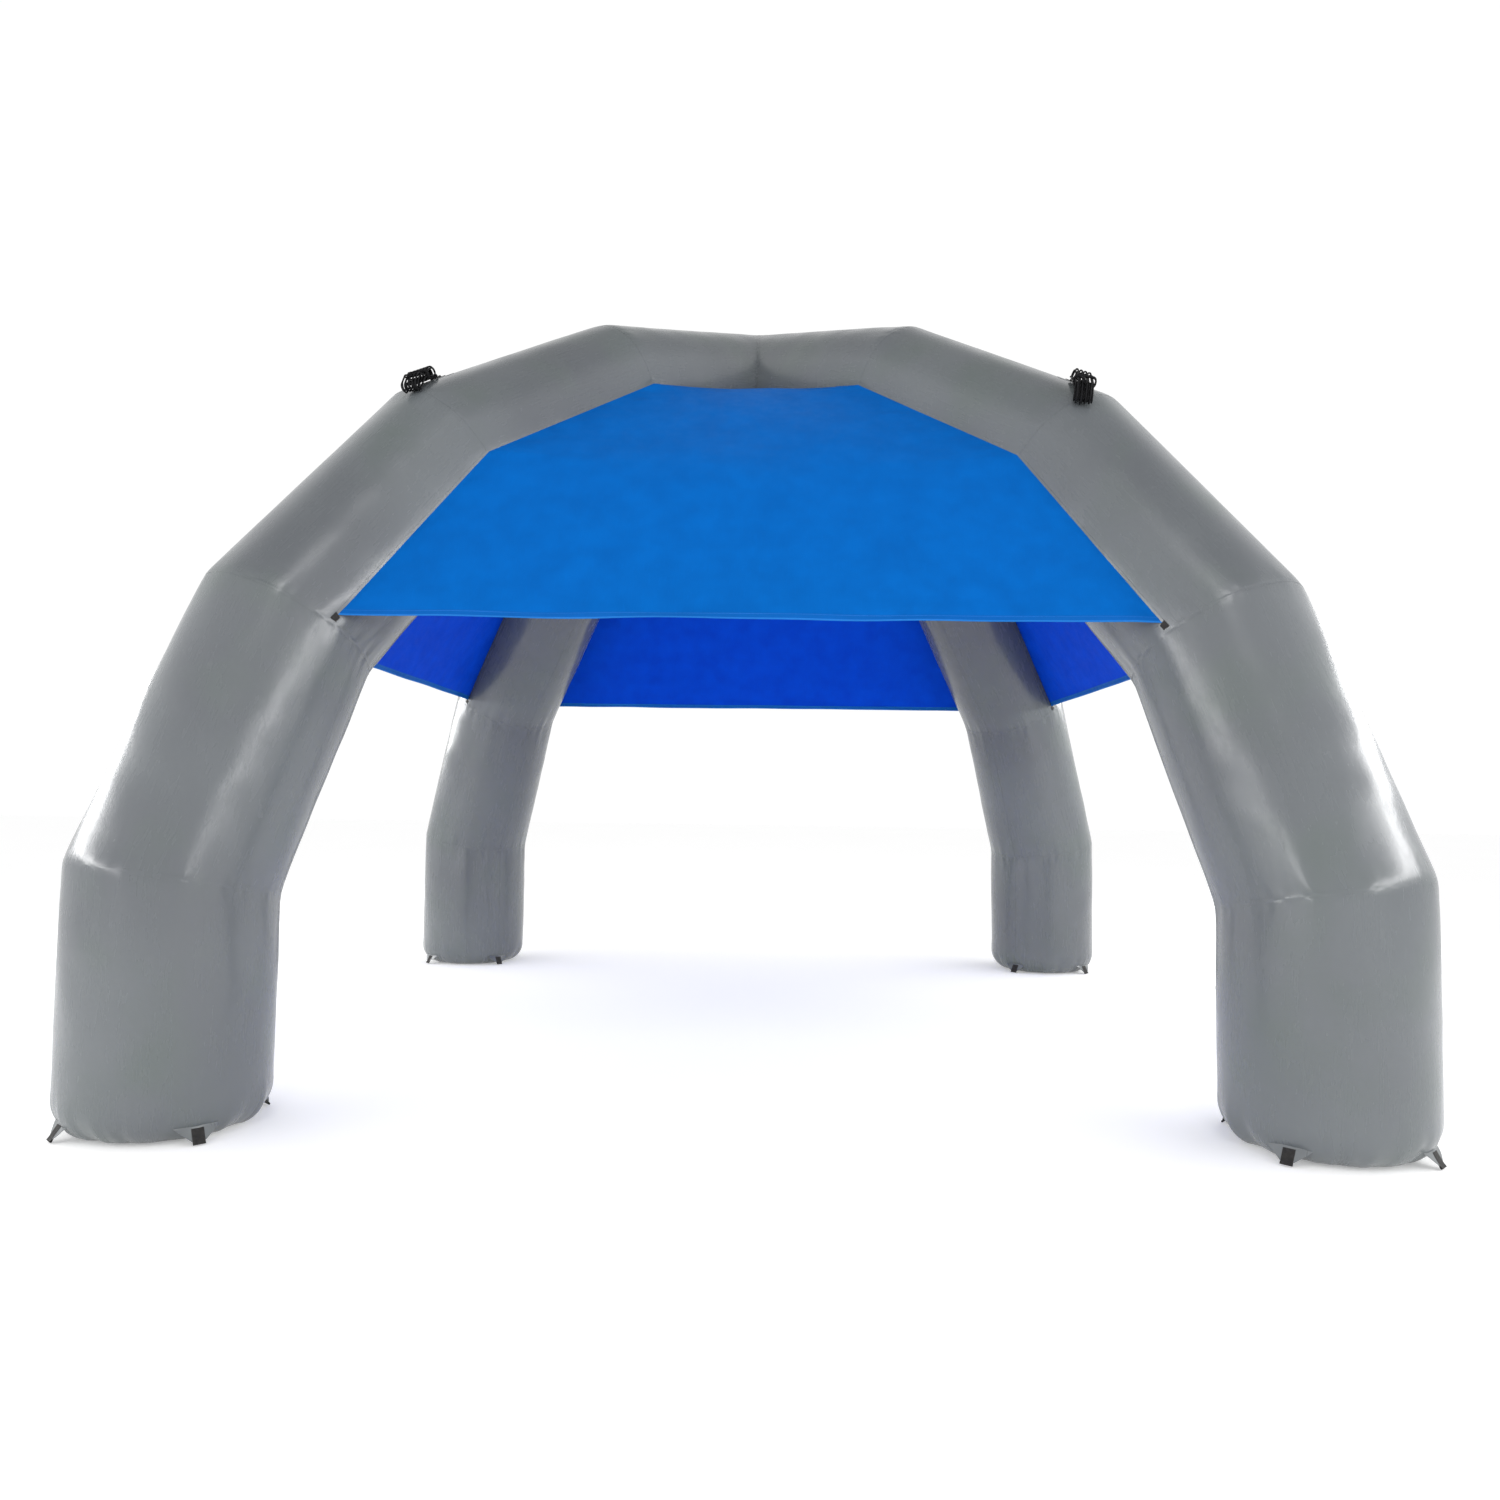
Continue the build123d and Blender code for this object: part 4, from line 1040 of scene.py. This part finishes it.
def make_canopy():
    hems, tabs = Build(), Build()
    half = CORNER_WEBBING / 2
    for name, (near_leg, far_leg) in PANELS.items():
        make_panel(name, hems)
        strips = Build()
        for leg, side, sides in (
            (near_leg, 1, (WELD_OUTER, -WELD_INNER)),
            (far_leg, -1, (WELD_INNER, -WELD_OUTER)),
        ):
            line = canopy_line(side)
            strip(strips, leg, (2, 3, 4), line, sides, WELD, THIN_BEDDED, (HEM_RISE, 0.004))
            angle = np.array([line(2, 0)])
            length = float(tube_surface(leg, 2, np.zeros(1), angle)[1][0])
            ends = (0.016, length - HEM_RISE)
            strip(tabs, leg, (2,), line, (half, -half), CORNER_WEBBING_LIFT, BEDDED, ends)
        add(strips.finish(f"{name}_weld_strips", [GREY]), ROOT, "grey_pvc", f"{name}_canopy_weld_strips")
    add(hems.finish("canopy_hem_tapes", [HEM]), ROOT, "blue_hem_tape", "canopy_hems")
    add(tabs.finish("hem_corner_webbing", [BLACK_WEBBING]), ROOT, "black_webbing", "canopy_corner_tabs")


make_canopy()


# ---- Floor and light ----------------------------------------------------------------------------
def make_studio():
    bpy.context.scene.view_settings.view_transform = "Standard"
    floor = Build()
    span = np.linspace(-60, 60, 3)
    x, y = np.meshgrid(span, -span)
    floor.grid(np.stack([x, y, 0 * x], -1), np.stack([x, y], -1))
    m = Material("studio_floor", roughness=0.9, specular=0.0)
    m.shader.inputs["Emission Color"].default_value = (1.0, 1.0, 1.0, 1.0)
    m.shader.inputs["Emission Strength"].default_value = 0.27
    colour = m.mix(m.noise(0.4), (0.90, 0.90, 0.90), (0.94, 0.94, 0.94))
    floor.finish("studio_floor", [m.apply(colour)])

    world = bpy.data.worlds.new("studio")
    world.use_nodes = True
    tree = world.node_tree
    tree.nodes["Background"].inputs["Color"].default_value = (1.0, 1.0, 1.0, 1.0)
    split = tree.nodes.new("ShaderNodeSeparateXYZ")
    tree.links.new(tree.nodes.new("ShaderNodeTexCoord").outputs["Generated"], split.inputs[0])
    dimmer = tree.nodes.new("ShaderNodeMapRange")  # a white room with a dimmer ceiling
    for key, value in (("From Min", 0.70), ("From Max", 0.90), ("To Min", 1.02), ("To Max", 0.35)):
        dimmer.inputs[key].default_value = value
    tree.links.new(split.outputs["Z"], dimmer.inputs["Value"])
    tree.links.new(dimmer.outputs["Result"], tree.nodes["Background"].inputs["Strength"])
    bpy.context.scene.world = world
    for name, place, target, size, power in (
        ("right_strip", (8.8, -4.5, 4.0), (0, -4.5, 4.0), (25.0, 0.9), 1000.0),
        ("left_strip", (-8.8, -4.5, 3.05), (0, -4.5, 3.05), (25.0, 0.7), 760.0),
        ("key", (0.5, -13.0, 12.5), (0, 0, 1.8), (4.0, 4.0), 250.0),
    ):
        data = bpy.data.lights.new(name, "AREA")
        data.shape, data.size, data.size_y, data.energy = "RECTANGLE", *size, power
        light = bpy.data.objects.new(name, data)
        light.location = place
        light.rotation_euler = (Vector(target) - Vector(place)).to_track_quat("-Z", "Y").to_euler()
        light.visible_camera = False
        bpy.context.collection.objects.link(light)


make_studio()
